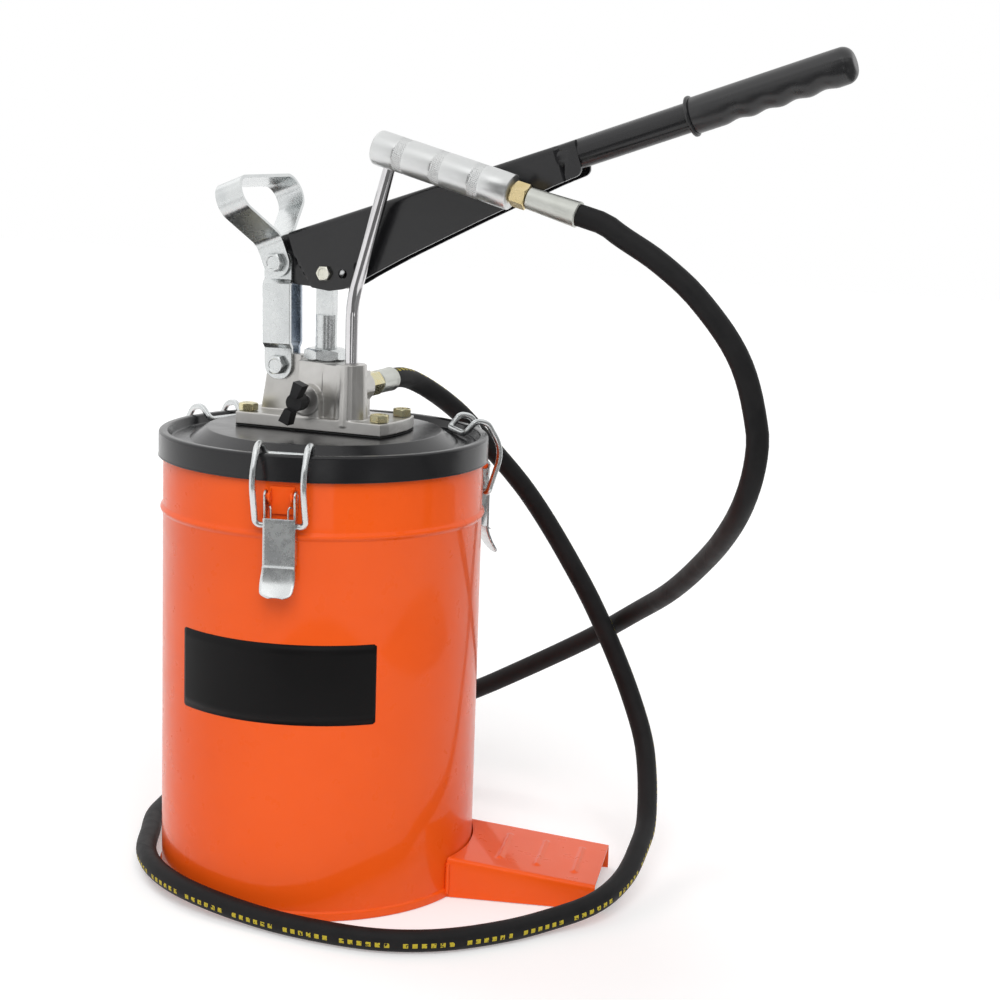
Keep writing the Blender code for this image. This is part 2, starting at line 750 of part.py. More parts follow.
def make_head():
    """The cast head: flange, six-sided column, link lug, nose and bosses, with its bores."""
    flat = Matrix.Translation((0.0, 0.0, FLANGE_BOTTOM + FLANGE_THICKNESS / 2))
    head = part("pump_head", plate([flange_outline()], FLANGE_THICKNESS, flat), CAST)
    sunk = FLANGE_TOP - 0.004
    column = cylinder(
        (0.0, 0.0, sunk),
        (0.0, 0.0, COLUMN_TOP),
        COLUMN_RADIUS,
        sides=6,
        end_radius=COLUMN_RADIUS * 0.96,
        spin=pi / 6 - COLUMN_TURN,
    )
    pin = LINK_PIVOT
    eye = LUG_EYE_RADIUS
    lug = arc((pin.x, pin.z), eye, 190, 60, 8)
    inside = -0.8 * COLUMN_RADIUS
    lug += [(inside, pin.z + 0.8 * eye), (inside, sunk), (pin.x - eye - 0.006, sunk)]
    socket_top = COLUMN_TOP + 0.0008
    socket = cylinder(
        (SOCKET_X, SOCKET_Y, sunk - 0.0005),
        (SOCKET_X, SOCKET_Y, socket_top),
        SOCKET_BOSS_RADIUS * 1.1,
        end_radius=SOCKET_BOSS_RADIUS * 0.98,
    )
    corner = Matrix.Rotation(-COLUMN_TURN - pi / 3, 2) @ Vector((0.945 * COLUMN_RADIUS, 0.0))
    reach = Vector((SOCKET_X, SOCKET_Y)) - corner
    lean = atan2(reach.y, reach.x) - asin(0.985 * SOCKET_BOSS_RADIUS / reach.length)
    touch = corner + Vector((cos(lean), sin(lean))) * sqrt(reach.length_squared - SOCKET_BOSS_RADIUS**2)
    nose_height = COLUMN_TOP - 0.0006 - sunk - 0.0004
    nose = plate(
        [[(0.004, -0.006), tuple(corner), tuple(touch), (SOCKET_X, SOCKET_Y), (SOCKET_X - 0.003, -0.006)]],
        nose_height,
        Matrix.Translation((0.0, 0.0, sunk + 0.0004 + nose_height / 2)),
    )
    outlet_end = OUTLET_FACE_Y - NIPPLE_THREAD_LENGTH
    outlet = cylinder(
        (OUTLET_X, outlet_end - 0.0025, OUTLET_Z),
        (OUTLET_X, OUTLET_FACE_Y, OUTLET_Z),
        OUTLET_BOSS_RADIUS,
    )
    web = box(
        (0.002, SOCKET_Y + 0.0075, sunk + 0.0008),
        (SOCKET_X + 0.0055, OUTLET_FACE_Y - 0.001, COLUMN_TOP - 0.006),
    )
    bleed = cylinder((BLEED_X, -0.010, BLEED_Z), (BLEED_X, BLEED_FACE_Y, BLEED_Z), BLEED_BOSS_RADIUS)
    skirt = box(
        (BLEED_X - 0.98 * BLEED_BOSS_RADIUS, BLEED_FACE_Y + 0.0006, sunk + 0.0012),
        (BLEED_X + 0.98 * BLEED_BOSS_RADIUS, -0.011, BLEED_Z),
    )
    join(
        head,
        helper("head_column", column),
        helper("head_lug", plate([lug], LUG_THICKNESS, lever_plane())),
        helper("head_socket_boss", socket),
        helper("head_outlet_boss", outlet),
        helper("head_web", web),
        helper("head_nose", nose),
        helper("head_bleed_boss", bleed),
        helper("head_bleed_skirt", skirt),
    )
    below = FLANGE_BOTTOM - 0.01
    above = COLUMN_TOP + 0.01
    bores = [
        cylinder((0, 0, PACKING_BOTTOM - GAP), (0, 0, above), GLAND_BORE, sides=24),
        cylinder((0, 0, below), (0, 0, above), ROD_RADIUS + 0.0015, sides=24),
        cylinder((0, 0, below), (0, 0, CHAMBER_TOP), GLAND_BORE, sides=24),
        cylinder((0, 0, below), (0, 0, FLANGE_BOTTOM + CYLINDER_SOCKET), CYLINDER_RADIUS + GAP, sides=24),
        cylinder((0, 0, OUTLET_Z - 0.006), (OUTLET_X + 0.004, 0, OUTLET_Z - 0.006), 0.004, sides=12),
        cylinder(
            (OUTLET_X, outlet_end, OUTLET_Z),
            (OUTLET_X, OUTLET_FACE_Y + 0.02, OUTLET_Z),
            NIPPLE_THREAD_RADIUS + GAP,
            sides=16,
        ),
        cylinder(
            (SOCKET_X, SOCKET_Y, socket_top - SOCKET_DEPTH),
            (SOCKET_X, SOCKET_Y, above),
            SPOUT_RADIUS + 0.0005,
        ),
        cylinder(
            (BLEED_X, BLEED_FACE_Y - 0.02, BLEED_Z),
            (BLEED_X, BLEED_FACE_Y + BLEED_STEM_INSIDE + GAP, BLEED_Z),
            BLEED_STEM_RADIUS + GAP,
            sides=16,
        ),
    ]
    for x, y in flange_places():
        bores.append(cylinder((x, y, below), (x, y, FLANGE_TOP + 0.01), BOLT_HOLE, sides=16))
    for i, bore in enumerate(bores):
        cut(head, helper(f"head_bore_{i + 1}", bore))
    cut(head, cross_hole("lug_hole", LINK_PIVOT, 0.03))
    flat = Matrix.Translation((0.0, 0.0, LID_PLATEAU + GAP + HEAD_GASKET / 2))
    holes = [circle(place, BOLT_HOLE) for place in flange_places()]
    holes.append(circle((0.0, 0.0), HEAD_HOLE_RADIUS, 24))
    part("head_gasket", plate([flange_outline(), *holes], HEAD_GASKET, flat), SEAL)


def make_flange_bolts():
    under = LID_PLATEAU - LID_SHEET - GAP
    for i, (x, y) in enumerate(flange_places()):
        seat = FLANGE_TOP + GAP
        length = seat - under + NUT_HEIGHT + 0.002
        bolt(f"flange_bolt_{i + 1}", (x, y, seat), (0, 0, -1), length, YELLOW_ZINC)
        nut(f"flange_nut_{i + 1}", (x, y, under), (0, 0, -1), YELLOW_ZINC)


def make_gland():
    seat = COLUMN_TOP + GAP
    gland = part("gland_nut", hexagon((0, 0, seat), (0, 0, seat + GLAND_HEIGHT), GLAND_FLATS), ZINC)
    thread_end = COLUMN_TOP - GLAND_THREAD_LENGTH
    thread = cylinder((0, 0, thread_end), (0, 0, seat + 0.003), GLAND_THREAD_RADIUS, sides=24)
    join(gland, helper("gland_thread", thread))
    bore = cylinder((0, 0, seat - 0.03), (0, 0, seat + 0.03), ROD_RADIUS + ROD_PLAY, sides=24)
    cut(gland, helper("gland_bore", bore))
    ring("gland_packing", ROD_RADIUS + GAP, GLAND_THREAD_RADIUS, PACKING_BOTTOM, PACKING_TOP - GAP, SEAL)


def make_cylinder():
    """The pump cylinder in the oil, its foot valve and strainer."""
    ring("pump_cylinder", CYLINDER_BORE, CYLINDER_RADIUS, CYLINDER_BOTTOM, CYLINDER_TOP, STEEL)
    body = CYLINDER_BORE - GAP
    flange = CYLINDER_RADIUS
    shoulder = CYLINDER_BOTTOM - GAP
    seat = VALVE_TOP - VALVE_BALL_RADIUS
    profile = [
        (VALVE_BALL_RADIUS + 0.002, VALVE_TOP),
        (body, VALVE_TOP),
        (body, shoulder),
        (flange, shoulder),
        (flange, VALVE_BOTTOM),
        (VALVE_PORT, VALVE_BOTTOM),
        (VALVE_PORT, seat - 0.002),
        (VALVE_BALL_RADIUS + 0.002, seat + 0.003),
    ]
    turned("foot_valve_body", profile, STEEL, closed=True, steps=24)
    rise = sqrt(VALVE_BALL_RADIUS**2 - VALVE_PORT**2)
    ball = bpy.data.meshes.new("foot_valve_ball")
    work = bmesh.new()
    bmesh.ops.create_uvsphere(work, u_segments=16, v_segments=10, radius=VALVE_BALL_RADIUS)
    work.transform(Matrix.Translation((0.0, 0.0, seat - 0.002 + rise + 0.0008)))
    work.to_mesh(ball)
    work.free()
    part("foot_valve_ball", ball, STEEL)
    top = VALVE_BOTTOM - GAP
    strainer = [
        (VALVE_PORT + 0.004, top),
        (flange - 0.001, top),
        (flange - 0.001, STRAINER_BOTTOM),
        (flange - 0.003, STRAINER_BOTTOM),
        (flange - 0.003, top - 0.0015),
        (VALVE_PORT + 0.004, top - 0.0015),
    ]
    turned("inlet_strainer", strainer, ZINC, closed=True, steps=24)


def make_plunger(carrier):
    """The rod with its flat eye at the top, and the piston on its stud."""
    tongue_bottom = ROD_PIVOT.z - ROD_TONGUE_LENGTH
    stud_end = PISTON_TOP - PISTON_HEIGHT - PISTON_CUP_HEIGHT - NUT_HEIGHT - 0.002
    profile = [
        (0.0, tongue_bottom),
        (ROD_RADIUS, tongue_bottom),
        (ROD_RADIUS, PISTON_TOP),
        (PISTON_STUD_RADIUS, PISTON_TOP),
        (PISTON_STUD_RADIUS, stud_end),
        (0.0, stud_end),
    ]
    rod = turned("plunger_rod", profile, ZINC, steps=24, carrier=carrier)
    half = ROD_TONGUE_HALF_WIDTH
    tongue = arc((ROD_PIVOT.x / 2, ROD_PIVOT.z), ROD_HEAD_RADIUS, -35, 215, 14)
    tongue += [(-half, ROD_PIVOT.z - 1.2 * ROD_HEAD_RADIUS), (-half, tongue_bottom - 0.004)]
    tongue += [(half, tongue_bottom - 0.004), (half, ROD_PIVOT.z - 1.2 * ROD_HEAD_RADIUS)]
    eye = circle((ROD_PIVOT.x, ROD_PIVOT.z), ROD_EYE_RADIUS, 20)
    join(rod, helper("rod_tongue", plate([tongue, eye], ROD_TONGUE_THICKNESS, lever_plane())))
    bore = PISTON_STUD_RADIUS + GAP
    bottom = PISTON_TOP - PISTON_HEIGHT
    outer = CYLINDER_BORE - PISTON_PLAY
    ring("piston", bore, outer, bottom, PISTON_TOP - GAP, BRASS, carrier=carrier)
    cup_bottom = bottom - GAP - PISTON_CUP_HEIGHT
    cup = [
        (bore, bottom - GAP),
        (outer + 0.0001, bottom - GAP),
        (outer + 0.0001, cup_bottom),
        (outer - 0.0025, cup_bottom),
        (outer - 0.0025, bottom - GAP - 0.003),
        (bore, bottom - GAP - 0.003),
    ]
    turned("piston_cup", cup, SEAL, closed=True, steps=24, carrier=carrier)
    top = bottom - GAP - 0.003 - GAP
    piston_nut = part("piston_nut", hexagon((0, 0, top - NUT_HEIGHT), (0, 0, top), 0.019), ZINC, carrier)
    hole = cylinder((0, 0, top - 0.02), (0, 0, top + 0.01), bore, sides=24)
    cut(piston_nut, helper("piston_nut_hole", hole))


def make_outlet():
    """The threaded nipple in the outlet boss and the ferrule crimped on the hose."""
    face = OUTLET_FACE_Y + GAP
    x, z = OUTLET_X, OUTLET_Z
    body = hexagon((x, face, z), (x, face + NIPPLE_HEX, z), NIPPLE_FLATS)
    nipple = part("outlet_nipple", body, YELLOW_ZINC)
    thread_end = face - NIPPLE_THREAD_LENGTH
    thread = cylinder((x, thread_end, z), (x, face + 0.003, z), NIPPLE_THREAD_RADIUS, sides=16)
    join(nipple, helper("nipple_thread", thread))
    bore = cylinder((x, face - 0.02, z), (x, face + NIPPLE_HEX + 0.01, z), 0.003, sides=12)
    cut(nipple, helper("nipple_bore", bore))
    start = Vector((x, face + NIPPLE_HEX + GAP, z))
    make_ferrule("pump_ferrule", start, Vector((0.0, 1.0, 0.0)), PUMP_FERRULE)
    return start + Vector((0.0, PUMP_FERRULE + GAP, 0.0))


def make_ferrule(name, start, axis, length):
    """A crimped sleeve with a chamfered mouth, open through its bore."""
    radius = FERRULE_RADIUS
    profile = [
        (0.003, 0.0),
        (0.003, length),
        (radius - 0.0014, length),
        (radius - 0.0006, length - 0.001),
        (radius - 0.0006, 0.010),
        (radius, 0.0085),
        (radius, 0.001),
        (radius - 0.001, 0.0),
    ]
    return turned(name, profile, ZINC, closed=True, steps=18, place=start, axis=axis)


def make_link(name, side, carrier):
    """A side link: its two ends lie on the lug and the lever, and its middle stands outward."""
    half = LINK_WIDTH / 2
    inner = side * (LINK_INNER + LINK_SHEET / 2)
    outer = inner + side * LINK_JOGGLE
    along = (LEVER_PIVOT - LINK_PIVOT).normalized()
    across = Vector((along.z, 0.0, -along.x))
    length = (LEVER_PIVOT - LINK_PIVOT).length
    stations = []
    for i in range(6):
        angle = radians(15 + 75 * i / 5)
        stations.append((-half * cos(angle), half * sin(angle), inner))
    stations += [
        (half + 0.0015, half, inner),
        (half + 0.0050, half, outer),
        (length - half - 0.0050, half, outer),
        (length - half - 0.0015, half, inner),
    ]
    stations += [(length - up, wide, place) for up, wide, place in reversed(stations[:6])]
    rows = []
    for up, wide, place in stations:
        middle = LINK_PIVOT + along * up
        middle.y = place
        rows.append([middle - across * wide, middle + across * wide])
    obj = part(name, sheet(rows), ZINC, carrier)
    thicken(obj, LINK_SHEET, 0.0)
    cut(obj, cross_hole(name + "_low_hole", LINK_PIVOT, 0.03))
    cut(obj, cross_hole(name + "_top_hole", LEVER_PIVOT, 0.03))
    return obj


def make_carry_handle(carrier):
    """A flat strip bent into a rounded loop, both ends on the upper link bolt."""
    up = Vector((-sin(CARRY_LEAN), 0.0, cos(CARRY_LEAN)))
    wide = Vector((cos(CARRY_LEAN), 0.0, sin(CARRY_LEAN)))
    leg = LINK_OUTER + GAP + CARRY_SHEET / 2
    half = CARRY_WIDTH / 2
    radius = CARRY_CORNER
    centre_out = CARRY_HALF_WIDTH - radius
    centre_up = CARRY_TOP - radius
    reach = sqrt((centre_out - leg) ** 2 + (centre_up - CARRY_THROAT) ** 2)
    flare = atan2(centre_up - CARRY_THROAT, centre_out - leg) - asin(radius / reach)
    side = []
    for i in range(5):
        angle = radians(15 + 75 * i / 5)
        side.append((leg, -half * cos(angle), half * sin(angle)))
    flared = (leg + cos(flare), CARRY_THROAT + sin(flare))
    crease = rounded([(leg, 0.0), (leg, CARRY_THROAT), flared], 0.010, steps=4)
    side += [(point.x, point.y, half) for point in crease[:-1]]
    bend = arc((centre_out, centre_up), radius, degrees(flare) - 90, 90, 8)
    side += [(across, rise, half) for across, rise in bend]
    loop = side + [(-across, rise, w) for across, rise, w in reversed(side)]
    rows = []
    for across, rise, w in loop:
        middle = LEVER_PIVOT + Vector((0.0, across, 0.0)) + up * rise
        rows.append([middle - wide * w, middle + wide * w])
    obj = part("carry_handle", sheet(rows), ZINC, carrier)
    thicken(obj, CARRY_SHEET, 0.0)
    cut(obj, cross_hole("carry_hole", LEVER_PIVOT, 0.03))
    return obj


def lever_bottom(along):
    """How far the channel's open edge lies below its top edge, at a distance along the lever."""
    stations = [(-0.012, 0.0176), (-0.004, 0.0300), (0.008, 0.0383), (0.020, 0.0430), (0.035, 0.0502)]
    stations += [(0.046, 0.0520), (0.056, 0.0518), (0.069, 0.0489), (0.100, 0.0433), (0.132, 0.0387)]
    stations += [(0.164, 0.0342), (0.227, 0.0263)]
    stations.append((LEVER_CHANNEL_END, 0.0245))
    for (a, depth_a), (b, depth_b) in zip(stations, stations[1:]):
        if along <= b:
            share = (along - a) / (b - a)
            return depth_a + (depth_b - depth_a) * share
    return stations[-1][1]


def lever_half_width(along, depth):
    """The channel is pinched between the links, left of a slanted line."""
    line = 0.0136 + 0.27 * max(0.0, depth - 0.0183)
    share = min(max((along - line + 0.0016) / 0.0032, 0.0), 1.0)
    share = share * share * (3 - 2 * share)
    return LEVER_PINCHED + (LEVER_HALF_WIDTH - LEVER_PINCHED) * share


def lever_point(along, depth, across=0.0):
    """A point by its distance along the top edge from above the pivot, and its depth below that edge."""
    top = LEVER_PIVOT + LEVER_ALONG * 0.0013 + LEVER_ACROSS * 0.0183
    point = top + LEVER_ALONG * along - LEVER_ACROSS * depth
    point.y = across
    return point


def tube_point(along):
    """A point on the axis of the lever's tube, which rises a little from the channel."""
    start = lever_point(LEVER_TUBE_START, LEVER_TUBE_RADIUS - 0.0004)
    slope = LEVER_ALONG * cos(LEVER_TUBE_TILT) + LEVER_ACROSS * sin(LEVER_TUBE_TILT)
    return start + slope * (along - LEVER_TUBE_START)


def lever_section(along):
    """The channel's outline across the lever: outside, over the top, and back along the inside."""
    corner = 0.0035
    plate_wall = LEVER_SHEET
    bottom = lever_bottom(along)
    drop = max(0.0, -0.004 - along) * 0.9
    outside = []
    inside = []
    for i in range(5):
        depth = bottom + (corner + drop - bottom) * i / 4
        width = lever_half_width(along, depth)
        outside.append((-width, depth))
        inside.append((plate_wall - width, depth))
    inset = min(corner, 0.6 * width)
    for angle in (radians(45), radians(90)):
        for line, size in ((outside, 0.0), (inside, plate_wall)):
            across = -width + inset - (inset - size) * cos(angle)
            line.append((across, drop + corner - (corner - size) * sin(angle)))
    outside += [(-across, depth) for across, depth in reversed(outside)]
    inside += [(-across, depth) for across, depth in reversed(inside)]
    outline = inside + outside[::-1]
    return [lever_point(along, depth, across) for across, depth in outline]


def make_lever(carrier):
    """A folded channel that runs out into a tube, with a ribbed grip on its end."""
    spots = [-0.012, -0.008, -0.002, 0.006, 0.0106, 0.0118, 0.0130, 0.0142, 0.0158, 0.0178, 0.022]
    spots += [0.028, 0.035, 0.046, 0.056, 0.069, 0.100, 0.132, 0.180, 0.227, LEVER_CHANNEL_END]
    lever = part("lever", loft([lever_section(along) for along in spots]), BLACK_PAINT, carrier)
    start = tube_point(LEVER_TUBE_START)
    end = tube_point(LEVER_TUBE_END)
    join(lever, helper("lever_tube", cylinder(start, end, LEVER_TUBE_RADIUS, sides=20)))
    bore = cylinder(
        tube_point(LEVER_CHANNEL_END + 0.004),
        tube_point(LEVER_TUBE_END + 0.01),
        LEVER_TUBE_RADIUS - LEVER_TUBE_WALL,
        sides=16,
    )
    cut(lever, helper("lever_tube_bore", bore))
    cut(lever, cross_hole("lever_pivot_hole", LEVER_PIVOT, 0.03))
    cut(lever, cross_hole("lever_rod_hole", ROD_PIVOT, 0.03, ROD_BOLT_RADIUS + BOLT_PLAY))
    for i, (ahead, rise) in enumerate(((0.0146, 0.0002), (0.0246, 0.0056))):
        spare = ROD_PIVOT + Vector((ahead, 0.0, rise))
        cut(lever, cross_hole(f"lever_spare_hole_{i + 1}", spare, 0.03, SPARE_HOLE_RADIUS))
    make_grip(carrier)
    return lever


def make_grip(carrier):
    length = GRIP_END - GRIP_START
    spots = [(0.0, GRIP_RADIUS + GRIP_COLLAR - 0.0006), (0.0008, GRIP_RADIUS + GRIP_COLLAR)]
    spots += [(0.0032, GRIP_RADIUS + GRIP_COLLAR), (0.0042, GRIP_RADIUS)]
    grooves_start = 0.022
    pitch = (length - grooves_start - 0.014) / GRIP_GROOVES
    steps = 5 * GRIP_GROOVES
    for i in range(steps + 1):
        spots.append((grooves_start + pitch * GRIP_GROOVES * i / steps, GRIP_RADIUS))
    spots += [(length - 0.008, GRIP_RADIUS), (length - 0.003, GRIP_RADIUS - 0.0015)]
    spots.append((length, GRIP_RADIUS - 0.0055))
    sides = 18
    rings = []
    for along, radius in spots:
        phase = (along - grooves_start) / pitch
        groove = GRIP_GROOVE_DEPTH * sin(pi * phase) ** 2 if 0.0 < phase < GRIP_GROOVES else 0.0
        one = []
        for j in range(sides):
            angle = 2 * pi * j / sides
            under = max(0.0, -sin(angle))
            reach = radius - groove * under
            middle = tube_point(GRIP_START + along)
            one.append(middle + Vector((0.0, reach * cos(angle), 0.0)) + LEVER_ACROSS * reach * sin(angle))
        rings.append(one)
    grip = part("lever_grip", loft(rings), GRIP_PLASTIC, carrier)
    bore = cylinder(
        tube_point(GRIP_START - 0.01),
        tube_point(LEVER_TUBE_END + 0.001),
        LEVER_TUBE_RADIUS + GAP,
        sides=20,
    )
    cut(grip, helper("grip_bore", bore))


def make_pivot_bolts(link_carrier, lever_carrier):
    reach = LINK_OUTER + GAP
    front = LINK_PIVOT + Vector((0.0, -reach, 0.0))
    length = 2 * reach + NUT_HEIGHT + 0.002
    bolt("link_bolt_lower", front, (0, 1, 0), length, ZINC)
    nut("link_nut_lower", LINK_PIVOT + Vector((0.0, reach, 0.0)), (0, 1, 0), ZINC)
    reach = CARRY_OUTER + GAP
    length = 2 * reach + NUT_HEIGHT + 0.002
    front = LEVER_PIVOT + Vector((0.0, -reach, 0.0))
    bolt("link_bolt_upper", front, (0, 1, 0), length, ZINC, link_carrier)
    nut("link_nut_upper", LEVER_PIVOT + Vector((0.0, reach, 0.0)), (0, 1, 0), ZINC, link_carrier)
    reach = LEVER_HALF_WIDTH + GAP
    length = 2 * reach + ROD_NUT_HEIGHT + 0.002
    front = ROD_PIVOT + Vector((0.0, -reach, 0.0))
    back = ROD_PIVOT + Vector((0.0, reach, 0.0))
    bolt("rod_bolt", front, (0, 1, 0), length, YELLOW_ZINC, lever_carrier, rod=True)
    nut("rod_nut", back, (0, 1, 0), YELLOW_ZINC, lever_carrier, rod=True)


def make_nozzle():
    """The bent spout in its socket, the ribbed handle, the adaptor and the hose ferrule."""
    foot = Vector((SOCKET_X, SOCKET_Y, COLUMN_TOP + 0.0008 - SOCKET_DEPTH + 0.002))
    bend = Vector((SOCKET_X, SOCKET_Y, COLUMN_TOP + SPOUT_BEND_RISE))
    into = (NOZZLE_ENTRY - bend).normalized()
    path = rounded([foot, bend, NOZZLE_ENTRY + into * 0.002], 0.080, steps=6)
    rod_along("nozzle_spout", path, SPOUT_RADIUS, CHROME, sides_level=4)
    start = NOZZLE_ENTRY - NOZZLE_AXIS * NOZZLE_BEHIND
    radius = NOZZLE_RADIUS
    length = NOZZLE_LENGTH
    profile = [(0.0, length), (radius - 0.001, length), (radius, length - 0.001)]
    for i in range(3):
        middle = length - 0.026 - i * 0.0305
        for shift, inset in ((0.0046, 0.0), (0.0042, 0.0004), (-0.0042, 0.0004), (-0.0046, 0.0)):
            profile.append((radius - inset, middle + shift))
    profile += [(radius, 0.0025), (radius - 0.0008, 0.0008), (radius - 0.0025, 0.0), (0.0, 0.0)]
    handle = turned("nozzle_handle", profile, MACHINED, steps=24, place=start, axis=NOZZLE_AXIS)
    spout_hole = cylinder(NOZZLE_ENTRY - into * 0.05, NOZZLE_ENTRY + into * 0.003, SPOUT_RADIUS + GAP)
    end = start + NOZZLE_AXIS * length
    thread = NIPPLE_THREAD_RADIUS
    depth = NIPPLE_THREAD_LENGTH
    hole_end = end - NOZZLE_AXIS * (depth + GAP)
    thread_hole = cylinder(hole_end, end + NOZZLE_AXIS * 0.01, thread + GAP, sides=16)
    cut(handle, helper("spout_hole", spout_hole), helper("handle_thread_hole", thread_hole))
    hex_start = end + NOZZLE_AXIS * ADAPTOR_NECK
    hex_end = hex_start + NOZZLE_AXIS * ADAPTOR_HEX
    adaptor = part("nozzle_adaptor", hexagon(hex_start, hex_end, ADAPTOR_FLATS), BRASS)
    stub = cylinder(end - NOZZLE_AXIS * depth, hex_start + NOZZLE_AXIS * 0.003, thread, sides=16)
    join(adaptor, helper("adaptor_thread", stub))
    bore = cylinder(end - NOZZLE_AXIS * 0.02, hex_end + NOZZLE_AXIS * 0.01, 0.003, sides=12)
    cut(adaptor, helper("adaptor_bore", bore))
    ferrule_start = hex_end + NOZZLE_AXIS * GAP
    make_ferrule("nozzle_ferrule", ferrule_start, NOZZLE_AXIS, NOZZLE_FERRULE)
    return ferrule_start + NOZZLE_AXIS * (NOZZLE_FERRULE + GAP)


def make_hose(first, last):
    """The hose runs square out of both ferrules."""
    straight = 2 * HOSE_RADIUS
    out = Vector((0.0, 1.0, 0.0))
    route = [first + out * 0.5 * straight, *HOSE_ROUTE, last + NOZZLE_AXIS * straight]
    path = [first, *smooth_path(route, HOSE_STEP, out, -NOZZLE_AXIS), last]
    return rod_along("hose", path, HOSE_RADIUS, RUBBER, sides_level=2)


def make_bleed(carrier):
    """The bleed screw and its wing knob, which turn about an axis along Y."""
    face = BLEED_FACE_Y
    knob_start = face - BLEED_NECK
    stem_end = knob_start - 0.6 * KNOB_LENGTH
    x, z = BLEED_X, BLEED_Z
    inner_end = face + BLEED_STEM_INSIDE
    stem = cylinder((x, inner_end, z), (x, stem_end, z), BLEED_STEM_RADIUS, sides=16)
    part("bleed_screw", stem, STEEL, carrier)
    knob_end = knob_start - 0.9 * KNOB_LENGTH
    hub = cylinder((x, knob_start, z), (x, knob_end, z), KNOB_HUB_RADIUS, sides=20)
    knob = part("bleed_knob", hub, KNOB_PLASTIC, carrier)
    half = KNOB_SPAN / 2
    thick = KNOB_WING / 2
    root = 0.33 * half
    wings_middle = knob_start - 0.92 * KNOB_LENGTH
    frame = Matrix.Translation((x, wings_middle, z)) @ Matrix.Rotation(pi / 2, 4, "X")
    frame = frame @ Matrix.Rotation(KNOB_TILT, 4, "Z")
    for side in (-1, 1):
        outline = [(root, -0.72 * thick), (half, -thick), (half, thick), (root, 0.72 * thick)]
        wing = plate([[(side * across, side * up) for across, up in outline]], 0.75 * KNOB_LENGTH, frame)
        join(knob, helper("knob_wing", wing))
    hole = cylinder((x, face + 0.02, z), (x, stem_end - GAP, z), BLEED_STEM_RADIUS + GAP, sides=16)
    cut(knob, helper("knob_hole", hole))


def latch_frame(side):
    """The frame of a plate that stands radially on a latch, at this distance sideways."""
    return Matrix.Translation((0.0, side, 0.0)) @ Matrix.Rotation(pi / 2, 4, "X")


def make_latch_base(name, turn):
    """A plate on the bucket with two ears and their pins."""
    half = LATCH_BASE_HALF_WIDTH
    face = BUCKET_RADIUS + GAP
    low = LATCH_PIVOT_Z - 0.013
    high = LATCH_PIVOT_Z + 0.0065
    base = part(name, box((face, -half, low), (face + LATCH_SHEET, half, high)), ORANGE, turn=turn)
    ear = LATCH_EAR_RADIUS - 0.0006
    outline = arc((LATCH_PIVOT_OUT, LATCH_PIVOT_Z), ear, 75, -75, 8)
    root = face + 0.5 * LATCH_SHEET
    outline += [(root, LATCH_PIVOT_Z - 0.010), (root, LATCH_PIVOT_Z + 0.0055)]
    for side in (-1, 1):
        middle = side * (half - 0.5 * LATCH_SHEET - 0.0002)
        plate_name = f"{name}_ear_{side + 2}"
        pin_start = (LATCH_PIVOT_OUT, middle, LATCH_PIVOT_Z)
        pin_end = (LATCH_PIVOT_OUT, side * (LATCH_PLATE_HALF_WIDTH - 0.0002), LATCH_PIVOT_Z)
        join(
            base,
            helper(plate_name, plate([outline], LATCH_SHEET, latch_frame(middle)), turn),
            helper(plate_name + "_pin", cylinder(pin_start, pin_end, LATCH_PIN_RADIUS, sides=12), turn),
        )


def make_latch_plate(name, turn, carrier):
    """The pull plate: a folded channel with eyes at its top and a flared lip at its foot."""
    web = BUCKET_RADIUS + LATCH_WEB_OUT + LATCH_SHEET / 2
    half = LATCH_PLATE_HALF_WIDTH
    top = LATCH_PIVOT_Z - 0.0150
    crease = LATCH_PIVOT_Z - LATCH_PLATE_LENGTH
    tip = crease - LATCH_LIP_LENGTH
    flare = LATCH_LIP_FLARE
    stations = [
        (web, top, half),
        (web, crease, half),
        (web + 0.10 * flare, crease - 0.22 * LATCH_LIP_LENGTH, half + 0.0004),
        (web + 0.38 * flare, crease - 0.55 * LATCH_LIP_LENGTH, half + 0.0008),
        (web + 0.78 * flare, crease - 0.85 * LATCH_LIP_LENGTH, half),
        (web + 0.93 * flare, crease - 0.95 * LATCH_LIP_LENGTH, 0.8 * half),
        (web + flare, tip, 0.45 * half),
    ]
    rows = [[(out, -wide, up), (out, wide, up)] for out, up, wide in stations]
    obj = part(name, sheet(rows), ZINC, carrier, turn)
    thicken(obj, LATCH_SHEET, 0.0)
    inner = BUCKET_RADIUS + BEAD_SIZE + 0.0008
    outline = arc((LATCH_PIVOT_OUT, LATCH_PIVOT_Z), LATCH_EAR_RADIUS, 0, 180, 8)
    outline += [(LATCH_PIVOT_OUT - LATCH_EAR_RADIUS, LATCH_PIVOT_Z - 0.006), (inner, LATCH_PIVOT_Z - 0.012)]
    outline += [(inner, crease + 0.004), (inner + 0.002, crease + 0.001), (web, crease + 0.001)]
    outline += [(web, top - 0.002), (web - 0.0005, top)]
    for side in (-1, 1):
        flank = plate([outline], LATCH_SHEET, latch_frame(side * (half - LATCH_SHEET / 2 - 0.0001)))
        join(obj, helper(f"{name}_flank_{side + 2}", flank, turn))
    for spot, out, up, radius in (
        ("pin", LATCH_PIVOT_OUT, LATCH_PIVOT_Z, LATCH_PIN_RADIUS),
        ("wire", WIRE_PIVOT_OUT, WIRE_PIVOT_Z, WIRE_RADIUS),
    ):
        hole = cylinder((out, -0.03, up), (out, 0.03, up), radius + 0.0004, sides=16)
        cut(obj, helper(f"{name}_{spot}_hole", hole, turn))


